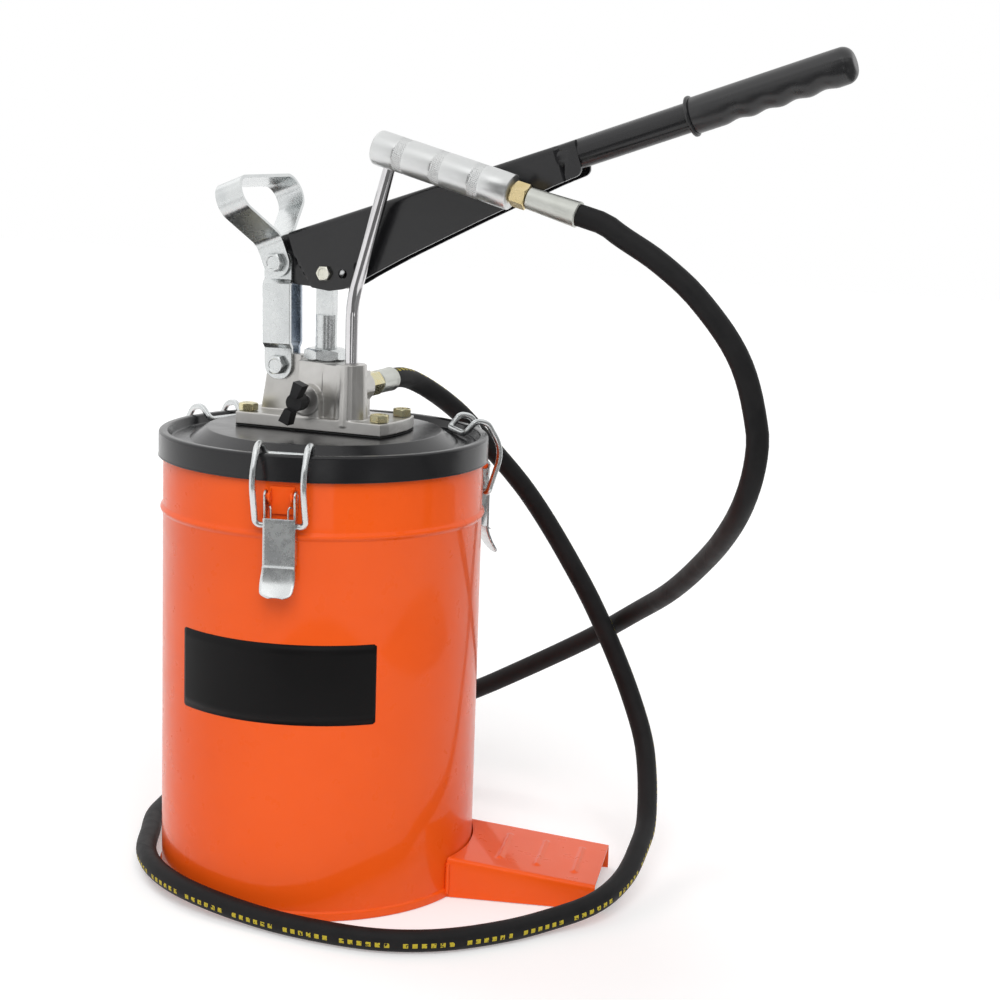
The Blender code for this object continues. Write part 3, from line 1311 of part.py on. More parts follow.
def make_latch_wire(name, turn, carrier):
    """The bail: its ends turn in the plate, and its hook holds the lid's rim down."""
    wide = WIRE_HALF_WIDTH
    end = LATCH_PLATE_HALF_WIDTH - LATCH_SHEET - 0.0008
    bar_out = LID_RADIUS - WIRE_BAR_INSET
    bar_z = LID_CHANNEL + WIRE_BAR_ABOVE_CHANNEL
    hook_z = LID_TOP + WIRE_HOOK_ABOVE_RIM
    knee_z = WIRE_PIVOT_Z + WIRE_KNEE_RISE
    side = [
        (WIRE_PIVOT_OUT, end, WIRE_PIVOT_Z),
        (WIRE_PIVOT_OUT, wide, WIRE_PIVOT_Z),
        (BUCKET_RADIUS + WIRE_KNEE_OUT, wide, knee_z),
        (LID_RADIUS + 0.0008, wide, hook_z - 0.0018),
        (LID_RADIUS - 0.0085, wide, hook_z),
        (bar_out, wide - 0.0015, bar_z),
    ]
    points = side + [(out, -across, up) for out, across, up in reversed(side)]
    rod_along(name, rounded(points, 0.0028, steps=2), WIRE_RADIUS, ZINC, carrier, turn)


def make_latches():
    for i in range(LATCH_COUNT):
        turn = LATCH_FIRST + 2 * pi * i / LATCH_COUNT
        outward = Vector((cos(turn), sin(turn), 0.0))
        plate_place = outward * LATCH_PIVOT_OUT + Vector((0.0, 0.0, LATCH_PIVOT_Z))
        wire_place = outward * WIRE_PIVOT_OUT + Vector((0.0, 0.0, WIRE_PIVOT_Z))
        plate_pivot = pivot(f"latch_{i + 1}_axis", plate_place)
        wire_pivot = pivot(f"latch_{i + 1}_wire_axis", wire_place)
        make_latch_base(f"latch_{i + 1}_base", turn)
        make_latch_plate(f"latch_{i + 1}_plate", turn, plate_pivot)
        make_latch_wire(f"latch_{i + 1}_wire", turn, wire_pivot)


def main():
    link_axis = pivot("link_axis", LINK_PIVOT)
    lever_axis = pivot("lever_axis", LEVER_PIVOT)
    carry_axis = pivot("carry_axis", LEVER_PIVOT)
    plunger_axis = pivot("plunger_axis", (0.0, 0.0, COLUMN_TOP))
    bleed_axis = pivot("bleed_axis", (BLEED_X, BLEED_FACE_Y, BLEED_Z))
    make_bucket()
    make_pedal()
    make_lid()
    make_head()
    make_flange_bolts()
    make_gland()
    make_cylinder()
    make_plunger(plunger_axis)
    make_link("link_front", -1, link_axis)
    make_link("link_rear", 1, link_axis)
    make_carry_handle(carry_axis)
    make_lever(lever_axis)
    make_pivot_bolts(link_axis, lever_axis)
    hose_start = make_outlet()
    hose_end = make_nozzle()
    make_hose(hose_start, hose_end)
    make_bleed(bleed_axis)
    make_latches()


main()
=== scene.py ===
"""Looks of the gear oil pump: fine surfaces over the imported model, materials, floor, light and camera."""

import json
from math import asin, atan2, ceil, cos, degrees, pi, radians, sin, sqrt, tan

import bmesh
import bpy
from mathutils import Matrix, Vector

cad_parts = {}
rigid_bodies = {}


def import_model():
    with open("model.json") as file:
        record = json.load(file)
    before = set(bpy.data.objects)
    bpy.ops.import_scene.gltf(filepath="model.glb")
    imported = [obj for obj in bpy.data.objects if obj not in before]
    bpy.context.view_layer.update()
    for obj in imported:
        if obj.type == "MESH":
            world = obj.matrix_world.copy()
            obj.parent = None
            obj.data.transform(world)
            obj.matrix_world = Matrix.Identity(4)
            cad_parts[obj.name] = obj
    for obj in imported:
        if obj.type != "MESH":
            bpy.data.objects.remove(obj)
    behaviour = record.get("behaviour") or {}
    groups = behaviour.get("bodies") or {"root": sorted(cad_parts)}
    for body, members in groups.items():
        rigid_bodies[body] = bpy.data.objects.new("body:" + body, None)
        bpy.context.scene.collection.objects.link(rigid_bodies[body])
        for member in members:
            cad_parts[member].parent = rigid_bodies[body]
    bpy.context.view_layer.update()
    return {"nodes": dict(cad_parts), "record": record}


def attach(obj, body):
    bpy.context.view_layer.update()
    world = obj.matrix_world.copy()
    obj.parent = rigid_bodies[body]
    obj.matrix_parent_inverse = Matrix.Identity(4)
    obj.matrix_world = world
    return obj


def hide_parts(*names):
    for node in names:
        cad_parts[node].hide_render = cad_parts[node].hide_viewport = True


for leftover in list(bpy.data.objects):
    bpy.data.objects.remove(leftover, do_unlink=True)

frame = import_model()
record = frame["record"]
NODES = frame["nodes"]
BODY_OF = {node: body for body, nodes in record["behaviour"]["bodies"].items() for node in nodes}
SLOT_OF = {entry["node"]: entry["material_slot"] for entry in record["subparts"]}
GAP = 0.0003

# Camera, at the photograph's view
CAMERA_PLACE = Vector((0.7003, -1.3744, 0.5779))
CAMERA_RIGHT = Vector((0.9242, 0.3806, 0.0327))
CAMERA_FORWARD = Vector((-0.3689, 0.9114, -0.1823))
CAMERA_LENS = 74.39
CAMERA_SENSOR = 36.0

# Studio: suns have a place, a spread in degrees and a power, dark cards a bearing from the camera's and a
# brightness, and softboxes a bearing and a height in degrees, a width in metres and a brightness
WHITE = (1.0, 1.0, 1.0, 1.0)
FLOOR_SIZE = 12.0
FLOOR_Z = -0.0003
FLOOR_TONES = (0.80, 0.81)
FLOOR_LIFT = 0.30
WORLD_LEVEL = 0.50
SUNS = [("key", (0.75, -1.65, 1.65), 40.0, 1.7), ("side", (-1.4, 0.5, 1.7), 25.0, 0.6)]
DARK_CARDS = [("front", 0.0, 0.20), ("right", 70.0, 0.32)]
CARD_AWAY = 2.4
CARD_Z = 1.0
CARD_SIZE = (3.4, 2.2)
LOW_CARD_AWAY = 1.6
LOW_CARD_SIZE = (2.2, 1.7)
SOFTBOX_AWAY = 2.3
SOFTBOX_CENTRE = Vector((0.0, 0.0, 0.4))
SOFTBOXES = [
    ("softbox_low", -63.0, -4.0, 0.55, 1.15),
    ("softbox_back", 150.0, 46.0, 1.3, 1.3),
    ("softbox_left", -138.0, 52.0, 1.5, 1.15),
    ("softbox_front", -76.0, 47.0, 1.2, 1.6),
]

# Meshes: sides of round pieces, the angle in degrees at which an edge stays sharp, and eased edges
BUCKET_SIDES = 160
FITTING_SIDES = 96
FASTENER_SIDES = 72
SHARP = 38.0
HEX_SHARP = 28.0
FOLDED_EDGE = 0.0005
STRAP_EDGE = 0.0006

# Bucket and its label
BUCKET_RADIUS = 0.120
BUCKET_HEIGHT = 0.338
BUCKET_WALL = 0.0012
BUCKET_BOTTOM = 0.0015
RIM_RADIUS = 0.1216
RIM_FOOT = 0.3320
RIM_LOW = 0.3338
LIP_RADIUS = 0.1208
CHIME_RADIUS = LIP_RADIUS + 0.0007
CHIME_HEIGHT = 0.0060
BEAD_Z = 0.284
BEAD_HALF = 0.0036
BEAD_BULGE = 0.0020
LABEL_ANGLES = (radians(-118.5), radians(-43.7))
LABEL_HEIGHTS = (0.1470, 0.2060)
LABEL_CORNER = 0.0015
LABEL_RADIUS = BUCKET_RADIUS + 0.00012
LABEL_FILM = 0.00015

# Lid
LID_TOP = 0.3420
LID_RADIUS = 0.1233
LID_PLATEAU = 0.3443
LID_PLATEAU_RADIUS = 0.088
LID_HOLE = 0.0235
LID_CHANNEL = 0.3355
LID_SHEET = 0.0011
LID_CLEARANCE = 0.0006
LID_SKIRT = 0.0177

# Foot pedal, with pressed ribs and two welds
PEDAL_ANGLE = radians(13.0)
PEDAL_TURN = Matrix.Rotation(PEDAL_ANGLE, 4, "Z")
PEDAL_CLEAR = LIP_RADIUS + GAP
PEDAL_HALF = 0.047
PEDAL_REACH = 0.2235
PEDAL_ROOT = 0.1
PEDAL_HIGH = 0.0325
PEDAL_LOW = 0.0190
PEDAL_FOOT = 0.0004
PEDAL_FOLD = 0.003
PEDAL_SHEET = 0.002
RIB_HALF = 0.0258
RIB_END = 0.0025
RIB_WIDTH = 0.0026
RIB_RISE = 0.0015
WELD_FOOT = 0.0022
WELD_LENGTH = 0.0255
WELD_RADIUS = 0.0017

# Pump head and what is on it
FLANGE_TOP = 0.3549
COLUMN_TOP = 0.3951
SOCKET = Vector((0.0293, -0.0165, COLUMN_TOP + 0.0008))
OUTLET = Vector((0.027, 0.0065, 0.3771))
LINK_PIVOT = Vector((-0.0366, 0.0, 0.3896))
LEVER_PIVOT = Vector((-0.0378, 0.0, 0.4661))
ROD_PIVOT = Vector((0.0032, 0.0, 0.4604))
HEAD_VOXEL = 0.0005

# Fasteners: across the flats, head height, shank radius, nut height and nut bore
M8 = (0.013, 0.0055, 0.004, 0.0065, 0.0043)
M6 = (0.010, 0.004, 0.003, 0.005, 0.0033)
HEX_CROWN = 0.470
HEX_CHAMFER = radians(30)
BOLT_PAST_NUT = 0.002
BOLT_TIP = 0.0007
FLANGE_BOLTS = [(x, y) for x in (-0.0545, 0.0545) for y in (-0.0195, 0.0195)]
FLANGE_BOLT_TURNS = (8, 21, -17, 35)
PIVOT_SPIN = pi / 6
PIVOT_BOLTS = [
    ("link_{}_lower", LINK_PIVOT, 0.0076, M8, None),
    ("link_{}_upper", LEVER_PIVOT, 0.0104, M8, None),
    ("rod_{}", ROD_PIVOT, 0.0103, M6, "pale_zinc"),
]

# Hose fittings
FITTING_BORE = 0.003
FITTING_THREAD = 0.0062
FITTING_DEPTH = 0.012
FERRULE_RADIUS = 0.0092
NIPPLE_FLATS = 0.017
NIPPLE_HIGH = 0.0215
NIPPLE_SPIN = pi / 7
PUMP_FERRULE_LENGTH = 0.0270
ADAPTOR_FLATS = 0.0160
ADAPTOR_NECK = 0.0010
ADAPTOR_HIGH = 0.0115
NOZZLE_FERRULE_LENGTH = 0.0392

# Lever
LEVER_SLOPE = radians(18.7)
LEVER_ALONG = Vector((cos(LEVER_SLOPE), 0.0, sin(LEVER_SLOPE)))
LEVER_ACROSS = Vector((-sin(LEVER_SLOPE), 0.0, cos(LEVER_SLOPE)))
LEVER_PIVOT_DEPTH = 0.0183
LEVER_TOP = LEVER_PIVOT + LEVER_ALONG * 0.0013 + LEVER_ACROSS * LEVER_PIVOT_DEPTH
LEVER_SHEET = 0.0024
LEVER_CORNER = 0.0035
CHANNEL_END = 0.2500
CHANNEL_CORNER = 0.0055
# The cheeks' lower edge: distance along the lever and depth below its top line
LEVER_EDGE = [(-0.012, 0.0176), (-0.004, 0.0300), (0.008, 0.0383), (0.020, 0.0430), (0.035, 0.0502)]
LEVER_EDGE += [(0.046, 0.0520), (0.056, 0.0518), (0.069, 0.0489), (0.100, 0.0433), (0.132, 0.0387)]
LEVER_EDGE += [(0.164, 0.0342), (0.227, 0.0263), (CHANNEL_END, 0.0245)]
# The cheeks' two half widths, the fold line between them and the dents near the channel's end
PINCH_HALF = 0.0041
PINCH_STEP = 0.0065
FOLD_START = 0.0136
FOLD_LEAN = 0.27
FOLD_BLEND = 0.0032
DENT_START = 0.2352
DENT_LENGTH = 0.0125
DENT_DEPTH = 0.0022
SPARE_HOLES = [(0.0146, 0.0002), (0.0268, 0.0062)]
SPARE_HOLE_RADIUS = 0.0035
PIVOT_HOLE = 0.0043
ROD_HOLE = 0.0033
HOLE_REACH = 0.03
TUBE_RADIUS = 0.0104
TUBE_TILT = radians(0.55)
TUBE_START = 0.205
TUBE_END = 0.405
GRIP_START = 0.3320
GRIP_LENGTH = 0.1180
GRIP_RADIUS = 0.0127
GROOVES = 4
GROOVES_START = 0.022
GROOVES_END = 0.014
GROOVE_DEPTH = 0.0016
PARTING_LINE = 0.00025

# Carry handle
HANDLE_LEAN = radians(22)
HANDLE_LEG = 0.0073 + GAP + 0.00125
HANDLE_HALF = 0.011
HANDLE_BEND = 0.013
HANDLE_TOP = 0.0635
HANDLE_OUT = 0.046
HANDLE_THROAT = 0.0175
HANDLE_SHEET = 0.0025

# Nozzle
NOZZLE_ENTRY = Vector((0.0650, -0.0273, 0.5505))
NOZZLE_AXIS = Vector((1.0, -0.020, -0.261)).normalized()
NOZZLE_START = NOZZLE_ENTRY - NOZZLE_AXIS * 0.0140
NOZZLE_LENGTH = 0.1096
NOZZLE_RADIUS = 0.0127
SPOUT_RADIUS = 0.0048
SPOUT_BEND = 0.080
SPOUT_DEPTH = 0.030
SPOUT_RISE = 0.0470
KNURL_TEETH = 44
KNURL_HALF = 0.0046
KNURL_DEPTH = 0.00055
KNURL_BANDS = [NOZZLE_LENGTH - 0.026 - i * 0.0305 for i in (2, 1, 0)]

# Hose, its printed stripe as shares of its girth and metres, and the turns of its wrap in a metre
LAYLINE_AROUND = 0.95
LAYLINE_HALF_WIDTH = 0.036
LAYLINE_PITCH = 0.0062
LAYLINE_DASH = 0.55
LAYLINE_WORD_PITCH = LAYLINE_PITCH * 7.0
LAYLINE_WORD = 0.80
HOSE_WRAP = 9.0
HOSE_RADIUS = 0.0078
HOSE_STEP = 0.008
HOSE_ROUTE = [
    (0.0290, 0.1040, 0.3690),
    (0.0446, 0.1420, 0.3455),
    (0.0588, 0.1620, 0.3225),
    (0.0975, 0.1800, 0.2734),
    (0.1435, 0.1827, 0.2072),
    (0.1717, 0.1788, 0.1611),
    (0.1968, 0.1694, 0.1162),
    (0.2153, 0.1520, 0.0816),
    (0.2347, 0.1030, 0.0423),
    (0.2417, 0.0629, 0.0310),
    (0.2439, 0.0209, 0.0215),
    (0.2359, -0.0201, 0.0156),
    (0.2115, -0.0526, 0.0097),
    (0.1891, -0.0842, 0.0086),
    (0.1569, -0.1167, 0.0086),
    (0.1194, -0.1352, 0.0086),
    (0.0742, -0.1405, 0.0086),
    (0.0245, -0.1375, 0.0090),
    (-0.0340, -0.1280, 0.0130),
    (-0.0760, -0.1075, 0.0145),
    (-0.1085, -0.0745, 0.0140),
    (-0.1350, -0.0270, 0.0110),
    (-0.1600, 0.0280, 0.0086),
    (-0.1660, 0.1000, 0.0087),
    (-0.1130, 0.1920, 0.0125),
    (-0.0500, 0.2240, 0.0370),
    (0.0060, 0.2340, 0.0720),
    (0.0546, 0.2300, 0.0989),
    (0.1392, 0.2120, 0.1494),
    (0.1903, 0.1840, 0.1849),
    (0.2373, 0.1300, 0.2197),
    (0.2841, 0.0600, 0.2627),
    (0.3163, 0.0040, 0.2977),
    (0.3353, -0.0280, 0.3268),
    (0.3441, -0.0400, 0.3535),
    (0.3449, -0.0430, 0.3778),
    (0.3306, -0.0430, 0.4230),
    (0.3004, -0.0415, 0.4610),
    (0.2703, -0.0390, 0.4845),
    (0.2406, -0.0335, 0.5002),
]

# Latches
LATCH_TURNS = [radians(-76.6 + 120.0 * i) for i in range(3)]
LATCH_PIVOT_OUT = 0.1255
LATCH_PIVOT_Z = 0.313
LATCH_PIVOT_HOLE = 0.0026
LATCH_SHEET = 0.0015
LATCH_HALF = 0.0117
LATCH_WEB = BUCKET_RADIUS + 0.0086 + 0.00075
LATCH_INNER = BUCKET_RADIUS + 0.0028
LATCH_TOP = LATCH_PIVOT_Z - 0.0150
LATCH_CREASE = LATCH_PIVOT_Z - 0.049
LATCH_LIP = 0.0205
LATCH_FLARE = 0.0095
LATCH_CROWN = 0.0007
LATCH_EYE = 0.0046
LATCH_EDGE = 0.0003
PRONG_RADIUS = 0.0007
WIRE_PIVOT_OUT = 0.126
WIRE_PIVOT_Z = 0.2925
WIRE_PIVOT_HOLE = 0.0024
WIRE_RADIUS = 0.0023
WIRE_HALF = 0.0182
WIRE_HOOK_Z = LID_TOP + 0.0070

# Paints and plastics: dark and light colour, roughness, grain (scale, strength, depth), shine, then coat
PAINTS = {
    "orange_paint": ((0.850, 0.096, 0.006), (0.890, 0.108, 0.009), (0.26, 0.34), None, 0.10, 0.34, 0.06),
    "black_paint": (
        (0.0075, 0.0075, 0.0085), (0.0105, 0.0105, 0.0115), (0.19, 0.26), (1500.0, 0.02, 0.0003), 0.50
    ),
    "lid_paint": (
        (0.0075, 0.0075, 0.0085), (0.0105, 0.0105, 0.0115), (0.19, 0.26), (1500.0, 0.02, 0.0003), 0.42
    ),
    "grip_plastic": (
        (0.010, 0.010, 0.011), (0.015, 0.015, 0.016), (0.26, 0.34), (1100.0, 0.04, 0.0003), 0.60
    ),
    "knob_plastic": (
        (0.008, 0.008, 0.009), (0.013, 0.013, 0.014), (0.34, 0.46), (1800.0, 0.10, 0.0002), 0.30
    ),
    "seal_rubber": (
        (0.016, 0.016, 0.016), (0.026, 0.026, 0.026), (0.6, 0.75), (900.0, 0.2, 0.0003), 0.20
    ),
    "label_film": (
        (0.0055, 0.0052, 0.0054), (0.0080, 0.0076, 0.0078), (0.28, 0.36), (700.0, 0.03, 0.0002), 0.10
    ),
}

# Metals: colours from dark to light, roughness, scale of the clouds and strength of the grain, then the
# colours' places on the ramp, the grain's scale and stretch, and how metallic it is
METALS = {
    "cast_aluminium": (
        ((0.50, 0.49, 0.47), (0.57, 0.56, 0.54), (0.63, 0.62, 0.60)),
        (0.28, 0.38), 70.0, 0.06, (0.25, 0.5, 0.8), 700.0, None, 0.9,
    ),
    "bright_zinc": (
        ((0.60, 0.62, 0.625), (0.68, 0.70, 0.70), (0.73, 0.745, 0.74)), (0.22, 0.32), 55.0, 0.01
    ),
    # The rear link's zinc, darker and bluish than the bright zinc: painted shade and a painted reflection of
    # the front link's dark back
    "painted_shade_zinc": (((0.30, 0.34, 0.40), (0.37, 0.42, 0.49), (0.43, 0.47, 0.53)), (0.20, 0.32), 55.0, 0.05),
    "satin_zinc": (((0.55, 0.56, 0.52), (0.62, 0.63, 0.59), (0.67, 0.68, 0.64)), (0.36, 0.46), 55.0, 0.05),
    "pale_zinc": (((0.68, 0.67, 0.58), (0.76, 0.75, 0.66), (0.80, 0.79, 0.72)), (0.24, 0.36), 110.0),
    "yellow_zinc": (
        ((0.58, 0.52, 0.30), (0.70, 0.62, 0.36), (0.66, 0.63, 0.42), (0.72, 0.58, 0.34)),
        (0.22, 0.34), 130.0, 0.02, (0.25, 0.45, 0.6, 0.8),
    ),
    "chrome": (((0.64, 0.63, 0.64), (0.71, 0.70, 0.71)), (0.05, 0.12), 45.0, 0.015, (0.3, 0.7)),
    "turned_steel": (
        ((0.52, 0.52, 0.53), (0.62, 0.62, 0.63)), (0.28, 0.40), 45.0, 0.02, (0.3, 0.7), 320.0, (1.0, 1.0, 6.0)
    ),
    "brass": (((0.65, 0.52, 0.26), (0.72, 0.59, 0.33), (0.76, 0.65, 0.40)), (0.20, 0.32), 110.0),
}


# Materials


class Shader:
    """A Principled material with short ways to add the usual nodes.

    A socket takes a value or another node's output, by its name with _ for a space, or by its number.
    """

    def __init__(self, name, **sockets):
        self.material = bpy.data.materials.new(name)
        self.material.use_nodes = True
        self.tree = self.material.node_tree
        self.bsdf = self.tree.nodes["Principled BSDF"]
        self.coords = self.node("TexCoord").outputs["Object"]
        self.set(**sockets)

    def fill(self, node, sockets):
        for key, value in sockets.items():
            socket = node.inputs[key.replace("_", " ") if isinstance(key, str) else key]
            if isinstance(value, bpy.types.NodeSocket):
                self.tree.links.new(value, socket)
            else:
                socket.default_value = value

    def node(self, kind, **sockets):
        node = self.tree.nodes.new("ShaderNode" + kind)
        self.fill(node, sockets)
        return node

    def set(self, **sockets):
        self.fill(self.bsdf, sockets)

    def surface(self, socket):
        self.fill(self.tree.nodes["Material Output"], {"Surface": socket})

    def stretched(self, scale):
        return self.node("Mapping", Vector=self.coords, Scale=scale).outputs["Vector"]

    def noise(self, scale, detail=3.0, rough=0.55, vector=None, distortion=0.0):
        node = self.node("TexNoise", Scale=scale, Detail=detail, Roughness=rough, Distortion=distortion)
        self.fill(node, {"Vector": vector or self.coords})
        return node.outputs["Fac"]

    def spread(self, factor, low, high, start=0.3, end=0.7):
        node = self.node("MapRange", Value=factor, From_Min=start, From_Max=end, To_Min=low, To_Max=high)
        return node.outputs["Result"]

    def ramp(self, factor, *stops):
        node = self.node("ValToRGB", Fac=factor)
        ramp = node.color_ramp
        while len(ramp.elements) < len(stops):
            ramp.elements.new(0.5)
        for element, (place, colour) in zip(ramp.elements, stops):
            element.position = place
            element.color = (*colour, 1.0)
        return node.outputs["Color"]

    def math(self, operation, *values):
        node = self.node("Math")
        node.operation = operation
        self.fill(node, dict(enumerate(values)))
        return node.outputs["Value"]

    def mix(self, factor, first, second):
        """The first socket's colour, and the second colour where the factor is 1."""
        node = self.node("Mix", Factor=factor)
        node.data_type = "RGBA"
        self.fill(node, {6: first, 7: (*second, 1.0)})
        return node.outputs[2]

    def bump(self, *layers):
        """Each layer is a height socket, a strength and a depth in metres."""
        below = {}
        for height, strength, depth in layers:
            node = self.node("Bump", Strength=strength, Distance=depth, Height=height, **below)
            below = {"Normal": node.outputs["Normal"]}
        self.set(**below)


def paint(name, low, high, rough, grain, shine, coat=0.0, coat_rough=0.05):
    shader = Shader(name, Coat_Weight=coat, Coat_Roughness=coat_rough, Specular_IOR_Level=shine)
    colour = shader.ramp(shader.noise(9.0, 4.0), (0.3, low), (0.7, high))
    shader.set(Base_Color=colour, Roughness=shader.spread(shader.noise(60.0, 5.0), *rough))
    if grain:
        scale, strength, depth = grain
        shader.bump((shader.noise(scale, 2.0), strength, depth))
    return shader.material


def metal(
    name,
    colours,
    rough,
    clouds,
    strength=0.02,
    places=(0.25, 0.55, 0.8),
    grain=320.0,
    brushed=None,
    metallic=1.0,
):
    shader = Shader(name, Metallic=metallic)
    cloud = shader.noise(clouds, 2.0, 0.5, distortion=0.4)
    lines = shader.noise(grain, 1.0, 0.5, vector=shader.stretched(brushed) if brushed else None)
    worn = shader.math("ADD", shader.math("MULTIPLY", lines, 0.5), shader.math("MULTIPLY", cloud, 0.5))
    shader.set(Base_Color=shader.ramp(cloud, *zip(places, colours)), Roughness=shader.spread(worn, *rough))
    shader.bump((lines, strength, 0.0003))
    return shader.material


def make_turned_finish():
    """Turned and dull-plated: fine rings square to the nozzle's axis."""
    shader = Shader("machined_aluminium", Metallic=1.0)
    along = shader.node("VectorMath")
    along.operation = "DOT_PRODUCT"
    shader.fill(along, {0: shader.coords, 1: NOZZLE_AXIS})
    rings = shader.node("TexNoise", Scale=2600.0, Detail=2.0)
    rings.noise_dimensions = "1D"
    shader.fill(rings, {"W": along.outputs["Value"]})
    cloud = shader.noise(60.0, 5.0, 0.6, distortion=0.3)
    stops = ((0.25, (0.66, 0.67, 0.67)), (0.55, (0.695, 0.705, 0.70)), (0.8, (0.72, 0.725, 0.72)))
    shader.set(Base_Color=shader.ramp(cloud, *stops), Roughness=shader.spread(cloud, 0.30, 0.40))
    shader.bump((rings.outputs["Fac"], 0.05, 0.0002), (shader.noise(900.0, 2.0), 0.05, 0.0002))
    return shader.material


def make_hose_finish():
    """Matt rubber with the cloth wrap's diagonal lines and a broken printed stripe."""
    shader = Shader("hose_rubber", Specular_IOR_Level=0.16)
    uv = shader.node("UVMap")
    uv.uv_map = "along"
    parts = shader.node("SeparateXYZ", Vector=uv.outputs["UV"])
    around, along = parts.outputs["X"], parts.outputs["Y"]
    helix = shader.math("ADD", around, shader.math("MULTIPLY", along, HOSE_WRAP))
    wrap = shader.math("ABSOLUTE", shader.math("SUBTRACT", shader.math("FRACT", helix), 0.5))
    edge = shader.spread(wrap, 1.0, 0.0, 0.0, 0.035)
    dust = shader.noise(70.0, 5.0, 0.65)
    rubber = shader.ramp(dust, (0.3, (0.008, 0.008, 0.0085)), (0.75, (0.015, 0.0145, 0.015)))
    across = shader.math("ABSOLUTE", shader.math("SUBTRACT", around, LAYLINE_AROUND))
    beat = shader.math("FRACT", shader.math("MULTIPLY", along, 1.0 / LAYLINE_PITCH))
    group = shader.math("FRACT", shader.math("MULTIPLY", along, 1.0 / LAYLINE_WORD_PITCH))
    ink = shader.math("GREATER_THAN", shader.noise(420.0, 3.0), 0.40)
    for place, end in ((across, LAYLINE_HALF_WIDTH), (beat, LAYLINE_DASH), (group, LAYLINE_WORD)):
        ink = shader.math("MULTIPLY", ink, shader.math("LESS_THAN", place, end))
    colour = shader.mix(ink, rubber, (0.50, 0.40, 0.035))
    shader.set(Base_Color=colour, Roughness=shader.spread(dust, 0.48, 0.64))
    shader.bump((edge, 0.25, 0.0003), (shader.noise(1300.0, 3.0), 0.12, 0.0003))
    return shader.material


LOOKS = {name: paint(name, *values) for name, values in PAINTS.items()}
LOOKS |= {name: metal(name, *values) for name, values in METALS.items()}
LOOKS["machined_aluminium"] = make_turned_finish()
LOOKS["hose_rubber"] = make_hose_finish()


# Shapes


def placed(name, data):
    obj = bpy.data.objects.new(name, data)
    bpy.context.scene.collection.objects.link(obj)
    return obj


def smooth(mesh, sharp=SHARP):
    mesh.shade_smooth()
    mesh.set_sharp_from_angle(angle=radians(sharp))


def add(name, verts, faces, sharp=SHARP):
    mesh = bpy.data.meshes.new(name)
    mesh.from_pydata([tuple(v) for v in verts], [], faces)
    mesh.validate()
    smooth(mesh, sharp)
    return placed(name, mesh)


def wear(obj, look):
    obj.data.materials.clear()
    obj.data.materials.append(LOOKS[look])


def detail(obj, body, slot, look=None):
    """A piece beside the nodes, such as a weld or a label."""
    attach(obj, body)
    wear(obj, look or slot)
    return obj


def dress(obj, node, look=None):
    """The piece stands for this node: it moves with it and takes its finish."""
    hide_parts(node)
    return detail(obj, BODY_OF[node], SLOT_OF[node], look)


def modify(obj, kind, **settings):
    modifier = obj.modifiers.new(kind.lower(), kind)
    for setting, value in settings.items():
        setattr(modifier, setting, value)
    return obj


def bevel(obj, width, segments=2, angle=50.0):
    limits = {"limit_method": "ANGLE", "angle_limit": radians(angle), "harden_normals": True}
    return modify(obj, "BEVEL", width=width, segments=segments, **limits)


def thicken(obj, thickness, offset):
    return modify(obj, "SOLIDIFY", thickness=thickness, offset=offset, use_even_offset=True)


def evaluated(obj):
    bpy.context.view_layer.update()
    graph = bpy.context.evaluated_depsgraph_get()
    return bpy.data.meshes.new_from_object(obj.evaluated_get(graph))


def settled(obj, sharp=SHARP):
    """Applies the piece's modifiers."""
    mesh = evaluated(obj)
    obj.modifiers.clear()
    obj.data = mesh
    smooth(mesh, sharp)
    return obj


def merged(name, objects, sharp):
    """One piece of several closed shapes."""
    work = bmesh.new()
    for obj in objects:
        mesh = evaluated(obj)
        mesh.transform(obj.matrix_world)
        work.from_mesh(mesh)
        bpy.data.objects.remove(obj, do_unlink=True)
    mesh = bpy.data.meshes.new(name)
    work.to_mesh(mesh)
    work.free()
    smooth(mesh, sharp)
    return placed(name, mesh)


def combined(obj, others, operation):
    """Boolean of closed shapes, applied; the others go."""
    for other in others:
        modify(obj, "BOOLEAN", operation=operation, solver="EXACT", object=other)
    settled(obj)
    for other in others:
        bpy.data.objects.remove(other, do_unlink=True)
    return obj


def rework(mesh, *steps):
    """Runs steps on the mesh's editable form."""
    work = bmesh.new()
    work.from_mesh(mesh)
    for step in steps:
        step(work)
    work.to_mesh(mesh)
    work.free()


def weld_close(work):
    bmesh.ops.remove_doubles(work, verts=work.verts, dist=2e-6)


def join_flat(work):
    bmesh.ops.dissolve_limit(work, angle_limit=radians(1.0), verts=work.verts, edges=work.edges)


def face_outward(work):
    bmesh.ops.recalc_face_normals(work, faces=work.faces)


def turn_over(work):
    bmesh.ops.reverse_faces(work, faces=work.faces)


def outward(obj):
    rework(obj.data, face_outward)
    return obj


def clean_copy(node, name):
    """A node's mesh with its triangles joined into flat faces."""
    mesh = NODES[node].data.copy()
    rework(mesh, weld_close, join_flat, face_outward)
    mesh.name = name
    mesh.materials.clear()
    smooth(mesh, sharp=30.0)
    return placed(name, mesh)


def refine(node, width, segments=2):
    """A node with its edges eased."""
    return dress(bevel(clean_copy(node, node + "_fine"), width, segments, 35.0), node)


def frame_along(place, axis):
    turn = Vector(axis).to_track_quat("Z", "Y").to_matrix().to_4x4()
    return Matrix.Translation(place) @ turn


def spaced(start, end, count):
    """Evenly placed values after the start, up to the end."""
    return [start + (end - start) * i / count for i in range(1, count + 1)]


def quads(rows, count, ring=True, flip=False):
    """Faces between neighbouring rows of as many points; a ring's last point joins its first."""
    faces = []
    for low in range(0, (rows - 1) * count, count):
        high = low + count
        for j in range(count if ring else count - 1):
            n = (j + 1) % count
            if flip:
                faces.append((low + j, high + j, high + n, low + n))
            else:
                faces.append((low + j, low + n, high + n, high + j))
    return faces


